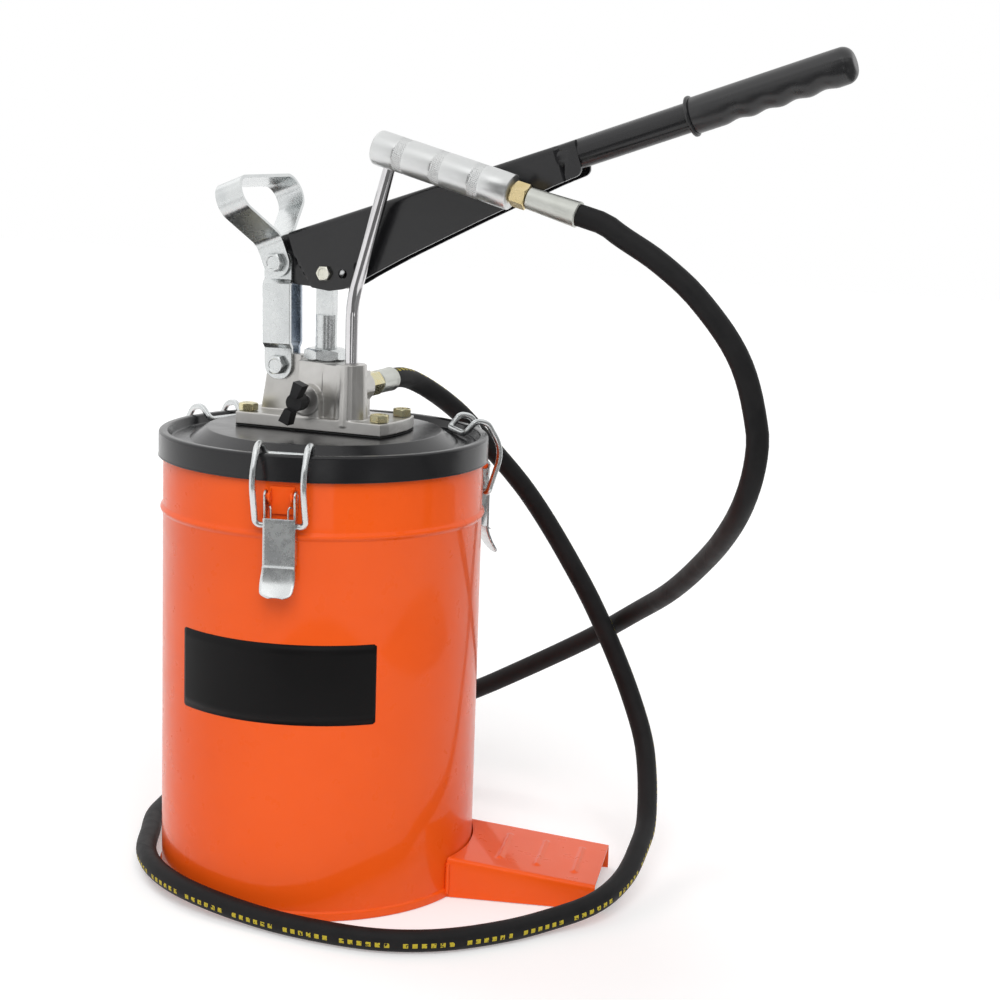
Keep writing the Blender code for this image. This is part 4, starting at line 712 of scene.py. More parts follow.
def capped(rows, count):
    """Faces of a closed tube of rings."""
    last = (rows - 1) * count
    return quads(rows, count) + [tuple(reversed(range(count))), tuple(range(last, last + count))]


def sheet(name, rows):
    verts = [point for row in rows for point in row]
    return add(name, verts, quads(len(rows), len(rows[0]), ring=False, flip=True))


def revolve(name, rings, place=(0, 0, 0), axis=(0, 0, 1), sides=FITTING_SIDES, closed=False, sharp=SHARP):
    """A lofted turned shape: each ring gives a radius and a height for an angle, or a fixed pair."""
    matrix = frame_along(place, axis)
    verts, faces, loops = [], [], []
    for one in rings:
        if not callable(one) and one[0] < 1e-7:
            verts.append(matrix @ Vector((0.0, 0.0, one[1])))
            loops.append([len(verts) - 1] * sides)
            continue
        start = len(verts)
        for k in range(sides):
            angle = 2 * pi * k / sides
            radius, height = one(angle) if callable(one) else one
            verts.append(matrix @ Vector((radius * cos(angle), radius * sin(angle), height)))
        loops.append(list(range(start, start + sides)))
    pairs = list(zip(loops, loops[1:]))
    if closed:
        pairs.append((loops[-1], loops[0]))
    for low, high in pairs:
        for k in range(sides):
            n = (k + 1) % sides
            face = [low[k], low[n], high[n], high[k]]
            face = [v for i, v in enumerate(face) if v not in face[:i]]
            if len(face) > 2:
                faces.append(face)
    if not closed:
        for loop, ends in ((loops[0], -1), (loops[-1], 1)):
            if len(set(loop)) > 1:
                faces.append(loop[::ends])
    return outward(add(name, verts, faces, sharp))


def cylinder(name, radius, low, high, place, axis, sides):
    return revolve(name, [(0.0, low), (radius, low), (radius, high), (0.0, high)], place, axis, sides)


def cross_hole(place, radius, axis=(0, 1, 0), sides=32):
    return cylinder("hole", radius, -HOLE_REACH, HOLE_REACH, place, axis, sides)


def hexagonal(flats, height, chamfer=0, spin=0.0):
    """A ring of a hexagon; chamfer is 1 or -1 for the crown that slopes off its top or bottom corners."""

    def ring(angle):
        turned = (angle - spin + pi / 6) % (pi / 3) - pi / 6
        radius = flats / 2 / cos(turned)
        slope = max(0.0, radius - HEX_CROWN * flats) * tan(HEX_CHAMFER)
        return radius, height - chamfer * slope

    return ring


def hex_rings(flats, low, high, spin=0.0):
    """A hexagon's outside, with the corners sloped off at both ends."""
    crown = HEX_CROWN * flats
    return [(crown, low), hexagonal(flats, low, -1, spin), hexagonal(flats, high, 1, spin), (crown, high)]


def hex_bolt(name, seat, direction, length, flats, head, radius, spin):
    dish = 0.0003
    rings = [
        (0.0, -head + dish),
        (0.34 * flats, -head + dish),
        (0.37 * flats, -head),
        (HEX_CROWN * flats, -head),
        hexagonal(flats, -head, -1, spin),
        hexagonal(flats, -0.0002, 0, spin),
        (HEX_CROWN * flats, 0.0),
        (radius, 0.0),
        (radius, length - BOLT_TIP),
        (radius - BOLT_TIP, length),
        (0.0, length),
    ]
    return revolve(name, rings, seat, direction, FASTENER_SIDES, sharp=HEX_SHARP)


def hex_nut(name, seat, direction, height, flats, bore, spin):
    ease = 0.0004
    rings = [
        (bore, ease),
        (bore + ease, 0.0),
        *hex_rings(flats, 0.0, height, spin),
        (bore + ease, height),
        (bore, height - ease),
    ]
    return revolve(name, rings, seat, direction, FASTENER_SIDES, closed=True, sharp=HEX_SHARP)


def make_fitting(node, rings, place, axis=(0, 0, 1), look=None, sharp=HEX_SHARP):
    """A hollow turned piece, such as a nut with a thread below it or a ferrule."""
    return dress(revolve(node + "_fine", rings, place, axis, closed=True, sharp=sharp), node, look)


def make_fastener(bolt, nut, seat, nut_seat, size, spin, nut_spin, look=None):
    """A bolt from its head's seat, through to the nut on the other side."""
    flats, head, radius, high, bore = size
    through = Vector(nut_seat) - Vector(seat)
    direction = through.normalized()
    length = through.length + high + BOLT_PAST_NUT
    dress(hex_bolt(bolt + "_fine", seat, direction, length, flats, head, radius, spin), bolt, look)
    dress(hex_nut(nut + "_fine", nut_seat, direction, high, flats, bore, nut_spin), nut)


def rounded(points, radius, steps=8):
    """A path with its inner corners rounded, by less where a run is short; a list has one radius for each."""
    points = [Vector(point).to_3d() for point in points]
    radii = radius if isinstance(radius, list) else [radius] * len(points)
    path = [points[0]]
    for before, corner, after, radius in zip(points, points[1:], points[2:], radii):
        back = (before - corner).normalized()
        forward = (after - corner).normalized()
        half = back.angle(forward) / 2
        if half > radians(89):
            path.append(corner)
            continue
        room = 0.48 * min((before - corner).length, (after - corner).length)
        reach = min(radius * cos(half) / sin(half), room)
        bend = reach * sin(half) / cos(half)
        middle = corner + (back + forward).normalized() * bend / sin(half)
        start = corner + back * reach - middle
        end = corner + forward * reach - middle
        for i in range(steps + 1):
            path.append(middle + start.slerp(end, i / steps).normalized() * bend)
    path.append(points[-1])
    return path


def soft_profile(points, radius, steps=5):
    return [(p.x, p.y) for p in rounded([(r, z, 0.0) for r, z in points], radius, steps)]


def arc(centre, radius, start, end, count):
    points = []
    for i in range(count + 1):
        angle = radians(start + (end - start) * i / count)
        points.append((centre[0] + radius * cos(angle), centre[1] + radius * sin(angle)))
    return points


def tube(name, points, radius, sides=20, round_ends=0.0):
    """A round tube along a path, with a map that runs round it and along it in metres."""
    points = [Vector(p) for p in points]
    last = len(points) - 1
    tangents = []
    for i in range(last + 1):
        tangents.append((points[min(i + 1, last)] - points[max(i - 1, 0)]).normalized())
    side = tangents[0].orthogonal().normalized()
    verts, lengths = [], [0.0]
    for i, (point, along) in enumerate(zip(points, tangents)):
        if i:
            side = tangents[i - 1].rotation_difference(along) @ side
            lengths.append(lengths[-1] + (point - points[i - 1]).length)
        side = (side - along * side.dot(along)).normalized()
        other = along.cross(side)
        size = radius - round_ends if i in (0, last) else radius
        for k in range(sides):
            angle = 2 * pi * k / sides
            verts.append(point + (side * cos(angle) + other * sin(angle)) * size)
    marks = []
    for low, high in zip(lengths, lengths[1:]):
        for k in range(sides):
            u, v = k / sides, (k + 1) / sides
            marks += [(u, low), (v, low), (v, high), (u, high)]
    marks += [(0.0, 0.0)] * (2 * sides)
    obj = add(name, verts, capped(len(points), sides), sharp=50.0)
    layer = obj.data.uv_layers.new(name="along")
    for spot, mark in zip(layer.data, marks):
        spot.uv = mark
    return obj


def extruded(name, outline, thickness, matrix):
    """A flat plate from an outline in its own X-Y plane, its middle on that plane."""
    verts, count = [], len(outline)
    for side in (-thickness / 2, thickness / 2):
        verts += [matrix @ Vector((x, y, side)) for x, y in outline]
    faces = [tuple(reversed(range(count))), tuple(range(count, 2 * count))]
    return outward(add(name, verts, faces + quads(2, count), sharp=30.0))


def between(a, b, slope_a, slope_b, t):
    """The point at share t of the smooth curve that leaves a and meets b with these slopes."""
    return (
        a * (2 * t**3 - 3 * t**2 + 1)
        + slope_a * (t**3 - 2 * t**2 + t)
        + b * (3 * t**2 - 2 * t**3)
        + slope_b * (t**3 - t**2)
    )


def smooth_curve(stations, steps):
    """Points on a smooth curve through stations of equally many numbers."""
    points = [Vector(s) for s in stations]
    path = []
    for i, (a, b) in enumerate(zip(points, points[1:])):
        before = points[max(i - 1, 0)]
        after = points[min(i + 2, len(points) - 1)]
        for k in range(steps):
            path.append(between(a, b, (b - before) * 0.5, (after - a) * 0.5, k / steps))
    path.append(points[-1])
    return path


def hose_path(route, step, first_slope, last_slope):
    """Evenly placed points on the hose's smooth line through its route."""
    points = [Vector(point) for point in route]
    slopes = [first_slope]
    for before, after in zip(points, points[2:]):
        slopes.append((after - before).normalized())
    slopes.append(last_slope)
    fine, pieces = [points[0]], 32
    for a, b, slope_a, slope_b in zip(points, points[1:], slopes, slopes[1:]):
        span = (b - a).length
        for k in range(1, pieces + 1):
            fine.append(between(a, b, slope_a * span, slope_b * span, k / pieces))
    lengths = [0.0]
    for first, second in zip(fine, fine[1:]):
        lengths.append(lengths[-1] + (second - first).length)
    count = ceil(lengths[-1] / step)
    path, index = [], 0
    for k in range(count + 1):
        wanted = lengths[-1] * k / count
        while index < len(fine) - 2 and lengths[index + 1] < wanted:
            index += 1
        share = (wanted - lengths[index]) / (lengths[index + 1] - lengths[index])
        path.append(fine[index].lerp(fine[index + 1], share))
    return path


# Camera and hose come first


def make_camera():
    data = bpy.data.cameras.new("photo_camera")
    data.lens = CAMERA_LENS
    data.sensor_width = CAMERA_SENSOR
    camera = placed("photo_camera", data)
    right = CAMERA_RIGHT.normalized()
    back = -CAMERA_FORWARD.normalized()
    up = back.cross(right).normalized()
    right = up.cross(back)
    turn = Matrix((right, up, back)).transposed().to_4x4()
    camera.matrix_world = Matrix.Translation(CAMERA_PLACE) @ turn
    bpy.context.scene.camera = camera


def make_hose(fittings):
    """From the end of the pump's ferrule to the end of the nozzle's."""
    out = Vector((0.0, 1.0, 0.0))
    first = OUTLET + out * (NIPPLE_HIGH + PUMP_FERRULE_LENGTH + 3 * GAP)
    reach = NOZZLE_LENGTH + ADAPTOR_NECK + ADAPTOR_HIGH + NOZZLE_FERRULE_LENGTH + 2 * GAP
    last = NOZZLE_START + NOZZLE_AXIS * reach
    straight = 2 * HOSE_RADIUS
    route = [first + out * 0.5 * straight, *HOSE_ROUTE, last + NOZZLE_AXIS * straight]
    path = [first, *hose_path(route, HOSE_STEP, out, -NOZZLE_AXIS), last]
    hose = dress(tube("hose_fine", path, HOSE_RADIUS, sides=24), "hose")


# Bucket, pedal and lid


def make_bucket():
    inside = BUCKET_RADIUS - BUCKET_WALL
    shoulder = CHIME_HEIGHT + 0.0010
    foot = [(0.0, 0.0), (CHIME_RADIUS, 0.0), (CHIME_RADIUS, CHIME_HEIGHT), (BUCKET_RADIUS, shoulder)]
    profile = soft_profile(foot, 0.0011)[:-1]
    profile += [(BUCKET_RADIUS, z) for z in (shoulder + 0.0002, 0.10, 0.20)]
    for i in range(17):
        share = -1 + i / 8
        bulge = BEAD_BULGE * (0.5 + 0.5 * cos(pi * share)) ** 0.8
        profile.append((BUCKET_RADIUS + bulge, BEAD_Z + BEAD_HALF * share))
    rim = [(BUCKET_RADIUS, RIM_FOOT - 0.002), (BUCKET_RADIUS, RIM_FOOT), (RIM_RADIUS, RIM_LOW)]
    rim += [(RIM_RADIUS, BUCKET_HEIGHT), (inside, BUCKET_HEIGHT), (inside, 0.30)]
    profile += soft_profile(rim, 0.0009)
    profile += [(inside, BUCKET_BOTTOM + 0.002), (inside - 0.002, BUCKET_BOTTOM), (0.0, BUCKET_BOTTOM)]
    dress(revolve("bucket_fine", profile, sides=BUCKET_SIDES), "bucket")


def make_label():
    """A plain film on the bucket's front, left bare."""
    first, last = LABEL_ANGLES
    low, high = LABEL_HEIGHTS
    columns = 80
    rows = []
    for i in range(columns + 1):
        angle = first + (last - first) * i / columns
        from_end = min(i, columns - i) / columns * (last - first) * BUCKET_RADIUS
        past = max(0.0, LABEL_CORNER - from_end)
        cut = LABEL_CORNER - sqrt(max(0.0, LABEL_CORNER**2 - past**2))
        x, y = LABEL_RADIUS * cos(angle), LABEL_RADIUS * sin(angle)
        rows.append([(x, y, low + cut + (high - low - 2 * cut) * j / 8) for j in range(9)])
    label = thicken(sheet("bucket_label", rows), LABEL_FILM, 1.0)
    detail(label, "pump", "black_paint", "label_film")


def rib_height(along, across):
    """How far a pressed rib stands up at this distance from its middle."""
    ends = max(0.0, abs(across) - RIB_HALF) / RIB_END
    away = sqrt((along / RIB_WIDTH) ** 2 + ends**2)
    return RIB_RISE * (0.5 + 0.5 * cos(pi * away)) ** 0.7 if away < 1.0 else 0.0


def make_pedal():
    """The folded step: each point of its section has a place across, a share of the height and a drop."""
    slope = (PEDAL_LOW - PEDAL_HIGH) / (PEDAL_REACH - PEDAL_ROOT)
    section = [(-PEDAL_HALF, 0.0, 0.0), (-PEDAL_HALF, 0.5, 0.0)]
    for i in range(7):
        angle = radians(90 * i / 6)
        across = -PEDAL_HALF + PEDAL_FOLD * (1 - cos(angle))
        section.append((across, 1.0, PEDAL_FOLD * (1 - sin(angle))))
    inner = PEDAL_HALF - PEDAL_FOLD
    flat = [(-inner + 2 * inner * i / 64, 1.0, 0.0) for i in range(1, 64)]
    section += flat + [(-a, b, c) for a, b, c in reversed(section)]
    pitch = (PEDAL_REACH - PEDAL_CLEAR) / 3.6
    ribs = [PEDAL_REACH - pitch * (i + 0.65) for i in range(3)]
    steps = 96
    rows = []
    for i in range(steps + 1):
        row = []
        for across, share, drop in section:
            start = sqrt(PEDAL_CLEAR**2 - across**2)
            along = start + (PEDAL_REACH - start) * i / steps
            up = PEDAL_HIGH + slope * (along - PEDAL_ROOT) - drop
            if share < 1.0:
                up = PEDAL_FOOT + (up - PEDAL_FOLD - PEDAL_FOOT) * share
            elif drop == 0.0:
                up += sum(rib_height(along - rib, across) for rib in ribs)
            row.append(PEDAL_TURN @ Vector((along, across, up)))
        rows.append(row)
    pedal = thicken(sheet("foot_pedal_fine", rows), PEDAL_SHEET, -1.0)
    dress(bevel(pedal, FOLDED_EDGE), "foot_pedal")


def make_pedal_welds():
    along = sqrt(PEDAL_CLEAR**2 - PEDAL_HALF**2) + 0.0006
    for side in (-1, 1):
        across = side * (PEDAL_HALF + 0.0004)
        bead = []
        for i in range(25):
            wobble = 0.0002 * sin(2.3 * i)
            bead.append(PEDAL_TURN @ Vector((along + wobble, across, WELD_FOOT + WELD_LENGTH * i / 24)))
        weld = tube(f"pedal_weld_{side + 2}", bead, WELD_RADIUS, sides=12, round_ends=0.0011)
        detail(weld, "pump", "orange_paint")


def make_lid():
    plug = BUCKET_RADIUS - BUCKET_WALL - LID_CLEARANCE - LID_SHEET
    channel = plug - 0.0034
    points = [
        (LID_HOLE, LID_PLATEAU),
        (LID_PLATEAU_RADIUS, LID_PLATEAU),
        (channel - 0.0133, LID_CHANNEL),
        (channel, LID_CHANNEL),
        (plug, LID_TOP),
        (LID_RADIUS, LID_TOP),
        (LID_RADIUS, LID_TOP - LID_SKIRT),
        (LID_RADIUS + 0.0004, LID_TOP - LID_SKIRT - 0.0010),
    ]
    profile = soft_profile(points, 0.0022, 6)
    profile[1:1] = [(radius, LID_PLATEAU) for radius in spaced(LID_HOLE, LID_PLATEAU_RADIUS - 0.008, 6)]
    rows = []
    for k in range(BUCKET_SIDES + 1):
        angle = 2 * pi * k / BUCKET_SIDES
        rows.append([(r * cos(angle), r * sin(angle), z) for r, z in profile])
    lid = sheet("lid_fine", rows)
    rework(lid.data, weld_close, turn_over)
    smooth(lid.data, sharp=40.0)
    dress(thicken(lid, LID_SHEET, -1.0), "lid", "lid_paint")


# Pump head


def make_head():
    """The casting: the node's shape with the fillets of a mould, made by a fine remesh."""
    head = clean_copy("pump_head", "pump_head_fine")
    modify(head, "REMESH", mode="VOXEL", voxel_size=HEAD_VOXEL)
    modify(head, "SMOOTH", factor=0.5, iterations=4)
    dress(settled(head, sharp=60.0), "pump_head")


def make_fasteners():
    seat = FLANGE_TOP + GAP
    under = LID_PLATEAU - LID_SHEET - GAP
    for i, ((x, y), turn) in enumerate(zip(FLANGE_BOLTS, FLANGE_BOLT_TURNS), 1):
        names = f"flange_bolt_{i}", f"flange_nut_{i}"
        make_fastener(*names, (x, y, seat), (x, y, under), M8, radians(turn), 0.0)
    make_gland_nut()
    for name, place, reach, size, look in PIVOT_BOLTS:
        side = Vector((0.0, reach, 0.0))
        names = name.format("bolt"), name.format("nut")
        make_fastener(*names, place - side, place + side, size, PIVOT_SPIN, PIVOT_SPIN, look)


def make_gland_nut():
    bore, thread, deep, flats, high = 0.0084, 0.0125, 0.0085, 0.0285, 0.0085
    rings = [(bore, -deep), (thread, -deep), (thread, 0.0), *hex_rings(flats, 0.0, high)]
    rings += [(bore + 0.0008, high), (bore, high - 0.0006)]
    make_fitting("gland_nut", rings, (0, 0, COLUMN_TOP + GAP))


def make_ferrule(node, start, axis, length, flutes, widening):
    """A sleeve crimped on the hose: eight shallow flutes, or a plain flared one."""
    small = FERRULE_RADIUS - widening
    ease, lead, tail = 0.0008, 0.0020, 0.0026

    def crimped(size, height, depth):
        def ring(angle):
            lobe = (0.5 + 0.5 * cos(8 * angle)) ** 2
            return size - depth * lobe, height

        return ring

    rings = [(FITTING_BORE, 0.0), (small - ease, 0.0), (small, ease)]
    runs = 12
    for i in range(runs + 1):
        share = i / runs
        depth = flutes * min(1.0, 6 * share, 9 * (1 - share))
        size = small + (widening - 0.0002) * share
        rings.append(crimped(size, lead + (length - lead - tail) * share, depth))
    rings += [(FERRULE_RADIUS, length - 0.0016), (FERRULE_RADIUS, length - 0.0007)]
    rings += [(FERRULE_RADIUS - ease, length), (FITTING_BORE, length)]
    return make_fitting(node, rings, start, axis, "satin_zinc", sharp=32.0)


def make_outlet():
    axis = Vector((0, 1, 0))
    face = OUTLET + axis * GAP
    ease = 0.0006
    rings = [(FITTING_BORE, -FITTING_DEPTH), (FITTING_THREAD - ease, -FITTING_DEPTH)]
    rings += [(FITTING_THREAD, 0.0008 - FITTING_DEPTH), (FITTING_THREAD, 0.0)]
    rings += [*hex_rings(NIPPLE_FLATS, 0.0, NIPPLE_HIGH, NIPPLE_SPIN), (FITTING_BORE, NIPPLE_HIGH)]
    make_fitting("outlet_nipple", rings, face, axis)
    start = face + axis * (NIPPLE_HIGH + GAP)
    make_ferrule("pump_ferrule", start, axis, PUMP_FERRULE_LENGTH, 0.0006, 0.0004)


# Nozzle


def make_spout():
    foot = SOCKET - Vector((0.0, 0.0, SPOUT_DEPTH))
    bend = Vector((SOCKET.x, SOCKET.y, COLUMN_TOP + SPOUT_RISE))
    into = (NOZZLE_ENTRY - bend).normalized()
    path = rounded([foot, bend, NOZZLE_ENTRY + into * 0.002], SPOUT_BEND, steps=16)
    dress(tube("nozzle_spout_fine", path, SPOUT_RADIUS, sides=28, round_ends=0.0004), "nozzle_spout")


def knurled(height, ease):
    """A ring of a knurled band: two sets of slanting grooves that cross."""
    twist = height * KNURL_TEETH / NOZZLE_RADIUS

    def ring(angle):
        first = abs(sin((KNURL_TEETH * angle + twist) / 2))
        second = abs(sin((KNURL_TEETH * angle - twist) / 2))
        return NOZZLE_RADIUS - 0.00005 - KNURL_DEPTH * ease * (1 - min(first, second)), height

    return ring


def make_nozzle_handle():
    radius, length = NOZZLE_RADIUS, NOZZLE_LENGTH
    rounding = ((0.0030, 0.0), (0.0012, 0.0006), (0.0004, 0.0016), (0.0, 0.0030))
    rings = [(0.0, 0.0), *((radius - under, height) for under, height in rounding)]
    margin, steps = 0.0004, 32
    for middle in KNURL_BANDS:
        rings.append((radius, middle - KNURL_HALF - margin))
        for i in range(steps + 1):
            share = i / steps
            ease = min(1.0, 8 * share, 8 * (1 - share))
            rings.append(knurled(middle - KNURL_HALF + 2 * KNURL_HALF * share, ease))
        rings.append((radius, middle + KNURL_HALF + margin))
    rings += [(radius, length - 0.0010), (radius - 0.0010, length), (0.0, length)]
    handle = revolve("nozzle_handle_fine", rings, NOZZLE_START, NOZZLE_AXIS, sides=224, sharp=50.0)
    dress(handle, "nozzle_handle")


def make_nozzle_fittings():
    end = NOZZLE_START + NOZZLE_AXIS * NOZZLE_LENGTH
    top = ADAPTOR_NECK + ADAPTOR_HIGH
    rings = [(FITTING_BORE, -FITTING_DEPTH), (FITTING_THREAD, -FITTING_DEPTH)]
    rings += [(FITTING_THREAD, ADAPTOR_NECK), *hex_rings(ADAPTOR_FLATS, ADAPTOR_NECK, top)]
    adaptor = make_fitting("nozzle_adaptor", [*rings, (FITTING_BORE, top)], end, NOZZLE_AXIS)
    start = end + NOZZLE_AXIS * (top + GAP)
    ferrule = make_ferrule("nozzle_ferrule", start, NOZZLE_AXIS, NOZZLE_FERRULE_LENGTH, 0.0, 0.0014)
    return ferrule, adaptor


# Lever and carry handle


def lever_bottom(along):
    """The cheeks' depth below the lever's top line, with the channel's last corner rounded off."""
    depth = LEVER_EDGE[-1][1]
    for (a, depth_a), (b, depth_b) in zip(LEVER_EDGE, LEVER_EDGE[1:]):
        if along <= b:
            depth = depth_a + (depth_b - depth_a) * (along - a) / (b - a)
            break
    past = max(0.0, along - (CHANNEL_END - CHANNEL_CORNER))
    return depth - (CHANNEL_CORNER - sqrt(max(0.0, CHANNEL_CORNER**2 - past**2)))


def lever_half_width(along, depth):
    """Pinched between the links, and crimped in near the end of the channel."""
    line = FOLD_START + FOLD_LEAN * max(0.0, depth - LEVER_PIVOT_DEPTH)
    share = min(max((along - line + FOLD_BLEND / 2) / FOLD_BLEND, 0.0), 1.0)
    width = PINCH_HALF + PINCH_STEP * share * share * (3 - 2 * share)
    place = (along - DENT_START) / (DENT_LENGTH * max(0.12, 1 - depth / 0.024))
    lead = 0.15
    if -lead < place < 1.0:
        dent = (place + lead) / (2 * lead) if place < lead else (1 - place) / (1 - lead)
        width -= DENT_DEPTH * min(1.0, dent) * min(1.0, max(0.0, depth - 0.001) / 0.004)
    return width


def lever_point(along, depth, across=0.0):
    point = LEVER_TOP + LEVER_ALONG * along - LEVER_ACROSS * depth
    point.y = across
    return point


def tube_point(along):
    start = lever_point(TUBE_START, TUBE_RADIUS - 0.0004)
    slope = LEVER_ALONG * cos(TUBE_TILT) + LEVER_ACROSS * sin(TUBE_TILT)
    return start + slope * (along - TUBE_START)


def lever_section(along):
    """The folded channel's outline across the lever: outside, over the top, and back along the inside."""
    bottom = lever_bottom(along)
    drop = max(0.0, LEVER_EDGE[1][0] - along) * 0.9
    outside, inside = [], []
    for i in range(15):
        depth = bottom + (LEVER_CORNER + drop - bottom) * i / 14
        width = lever_half_width(along, depth)
        outside.append((-width, depth))
        inside.append((LEVER_SHEET - width, depth))
    inset = min(LEVER_CORNER, 0.6 * width)
    for i in range(1, 7):
        angle = radians(90 * i / 6)
        for line, plate in ((outside, 0.0), (inside, LEVER_SHEET)):
            across = -width + inset - (inset - plate) * cos(angle)
            line.append((across, drop + LEVER_CORNER - (LEVER_CORNER - plate) * sin(angle)))
    outside += [(-across, depth) for across, depth in reversed(outside)]
    inside += [(-across, depth) for across, depth in reversed(inside)]
    return [lever_point(along, depth, across) for across, depth in outside + inside[::-1]]


def make_lever():
    spots = [LEVER_EDGE[0][0]]
    for end, count in ((0.060, 48), (0.225, 22), (CHANNEL_END, 32)):
        spots += spaced(spots[-1], end, count)
    rings = [lever_section(along) for along in spots]
    count = len(rings[0])
    verts = [point for ring in rings for point in ring]
    faces = quads(len(rings), count, flip=True)
    for base, ends in ((0, 1), ((len(rings) - 1) * count, -1)):
        for j in range(count // 2 - 1):
            face = (base + j, base + j + 1, base + count - 2 - j, base + count - 1 - j)
            faces.append(face[::ends])
    lever = outward(add("lever_fine", verts, faces))
    start = tube_point(TUBE_START)
    axis = tube_point(TUBE_END) - start
    rod = cylinder("lever_tube", TUBE_RADIUS, 0.0, axis.length, start, axis.normalized(), 48)
    combined(lever, [rod], "UNION")
    holes = [cross_hole(LEVER_PIVOT, PIVOT_HOLE), cross_hole(ROD_PIVOT, ROD_HOLE)]
    for ahead, rise in SPARE_HOLES:
        holes.append(cross_hole(ROD_PIVOT + Vector((ahead, 0.0, rise)), SPARE_HOLE_RADIUS))
    combined(lever, holes, "DIFFERENCE")
    dress(bevel(lever, FOLDED_EDGE), "lever")


def make_grip():
    """The moulded sleeve: a collar, finger grooves underneath and the mould's parting line."""
    collar = GRIP_RADIUS + 0.0016
    spots = [(0.0, GRIP_RADIUS - 0.003), (0.0, collar - 0.0007), (0.0003, collar - 0.0002)]
    spots += [(0.0010, collar), (0.0018, collar), (0.0023, collar - 0.0002), (0.0026, collar - 0.0009)]
    spots += [(0.0028, GRIP_RADIUS - 0.0002), (0.0036, GRIP_RADIUS), (0.014, GRIP_RADIUS)]
    pitch = (GRIP_LENGTH - GROOVES_START - GROOVES_END) / GROOVES
    spots += [(GROOVES_START + pitch * GROOVES * i / 72, GRIP_RADIUS) for i in range(73)]
    for i in range(1, 11):
        angle = radians(90 * i / 10)
        spots.append((GRIP_LENGTH - 0.0085 * (1 - sin(angle)), GRIP_RADIUS - 0.0075 * (1 - cos(angle))))
    sides = 72
    parting = (4, sides // 2 - 4)
    verts = []
    for along, radius in spots:
        phase = (along - GROOVES_START) / pitch
        groove = GROOVE_DEPTH * sin(pi * phase) ** 2 if 0.0 < phase < GROOVES else 0.0
        middle = tube_point(GRIP_START + along)
        for j in range(sides):
            angle = 2 * pi * j / sides
            reach = radius - groove * max(0.0, -sin(angle))
            if j in parting and along > 0.006:
                reach += PARTING_LINE
            across = Vector((0.0, reach * cos(angle), 0.0))
            verts.append(middle + across + LEVER_ACROSS * reach * sin(angle))
    grip = add("lever_grip_fine", verts, capped(len(spots), sides), sharp=45.0)
    dress(outward(grip), "lever_grip")


def make_carry_handle():
    """A strap up both sides and over: each point has a place across, a rise and a half width."""
    up = Vector((-sin(HANDLE_LEAN), 0.0, cos(HANDLE_LEAN)))
    wide = Vector((cos(HANDLE_LEAN), 0.0, sin(HANDLE_LEAN)))
    centre_out, centre_up = HANDLE_OUT - HANDLE_BEND, HANDLE_TOP - HANDLE_BEND
    out, rise = centre_out - HANDLE_LEG, centre_up - HANDLE_THROAT
    flare = atan2(rise, out) - asin(HANDLE_BEND / sqrt(out**2 + rise**2))
    side = []
    for i in range(13):
        angle = radians(4 + 86 * i / 12)
        side.append((HANDLE_LEG, -HANDLE_HALF * cos(angle), HANDLE_HALF * sin(angle)))
    flared = (HANDLE_LEG + 0.03 * cos(flare), HANDLE_THROAT + 0.03 * sin(flare))
    crease = rounded([(HANDLE_LEG, 0.0), (HANDLE_LEG, HANDLE_THROAT), flared], 0.011, steps=12)
    side += [(point.x, point.y, HANDLE_HALF) for point in crease[1:-1]]
    bend = arc((centre_out, centre_up), HANDLE_BEND, degrees(flare) - 90, 90, 28)
    side += [(across, rise, HANDLE_HALF) for across, rise in bend]
    side += [(centre_out * (1 - i / 6), HANDLE_TOP, HANDLE_HALF) for i in range(1, 6)]
    loop = side + [(-across, rise, half) for across, rise, half in reversed(side)]
    rows = []
    for across, rise, half in loop:
        middle = LEVER_PIVOT + Vector((0.0, across, 0.0)) + up * rise
        rows.append([middle + wide * half * (j / 3 - 1) for j in range(7)])
    handle = thicken(sheet("carry_handle_fine", rows), HANDLE_SHEET, 0.0)
    outward(settled(handle))
    combined(handle, [cross_hole(LEVER_PIVOT, PIVOT_HOLE)], "DIFFERENCE")
    dress(bevel(handle, STRAP_EDGE, 3), "carry_handle")


# Latches


def latch_web(spin):
    """The plate's front and its flared lip, hollowed a little across."""
    stations = [(LATCH_WEB, LATCH_TOP, LATCH_HALF), (LATCH_WEB, LATCH_CREASE + 0.004, LATCH_HALF)]
    for flare, lip, half in (
        (0.0, 0.0, LATCH_HALF),
        (0.10, 0.22, LATCH_HALF + 0.0004),
        (0.38, 0.55, LATCH_HALF + 0.0008),
        (0.78, 0.85, LATCH_HALF),
        (0.93, 0.95, 0.8 * LATCH_HALF),
        (1.0, 1.0, 0.45 * LATCH_HALF),
    ):
        stations.append((LATCH_WEB + flare * LATCH_FLARE, LATCH_CREASE - lip * LATCH_LIP, half))
    rows = []
    for out, up, half in smooth_curve(stations, 6):
        below = min(max((LATCH_CREASE - up) / LATCH_LIP, 0.0), 1.0)
        row = []
        for j in range(13):
            share = j / 6 - 1
            crown = LATCH_CROWN * below * (1 - share * share)
            row.append(spin @ Vector((out - crown, share * half, up)))
        rows.append(row)
    return bevel(thicken(sheet("web", rows), LATCH_SHEET, 0.0), LATCH_EDGE)


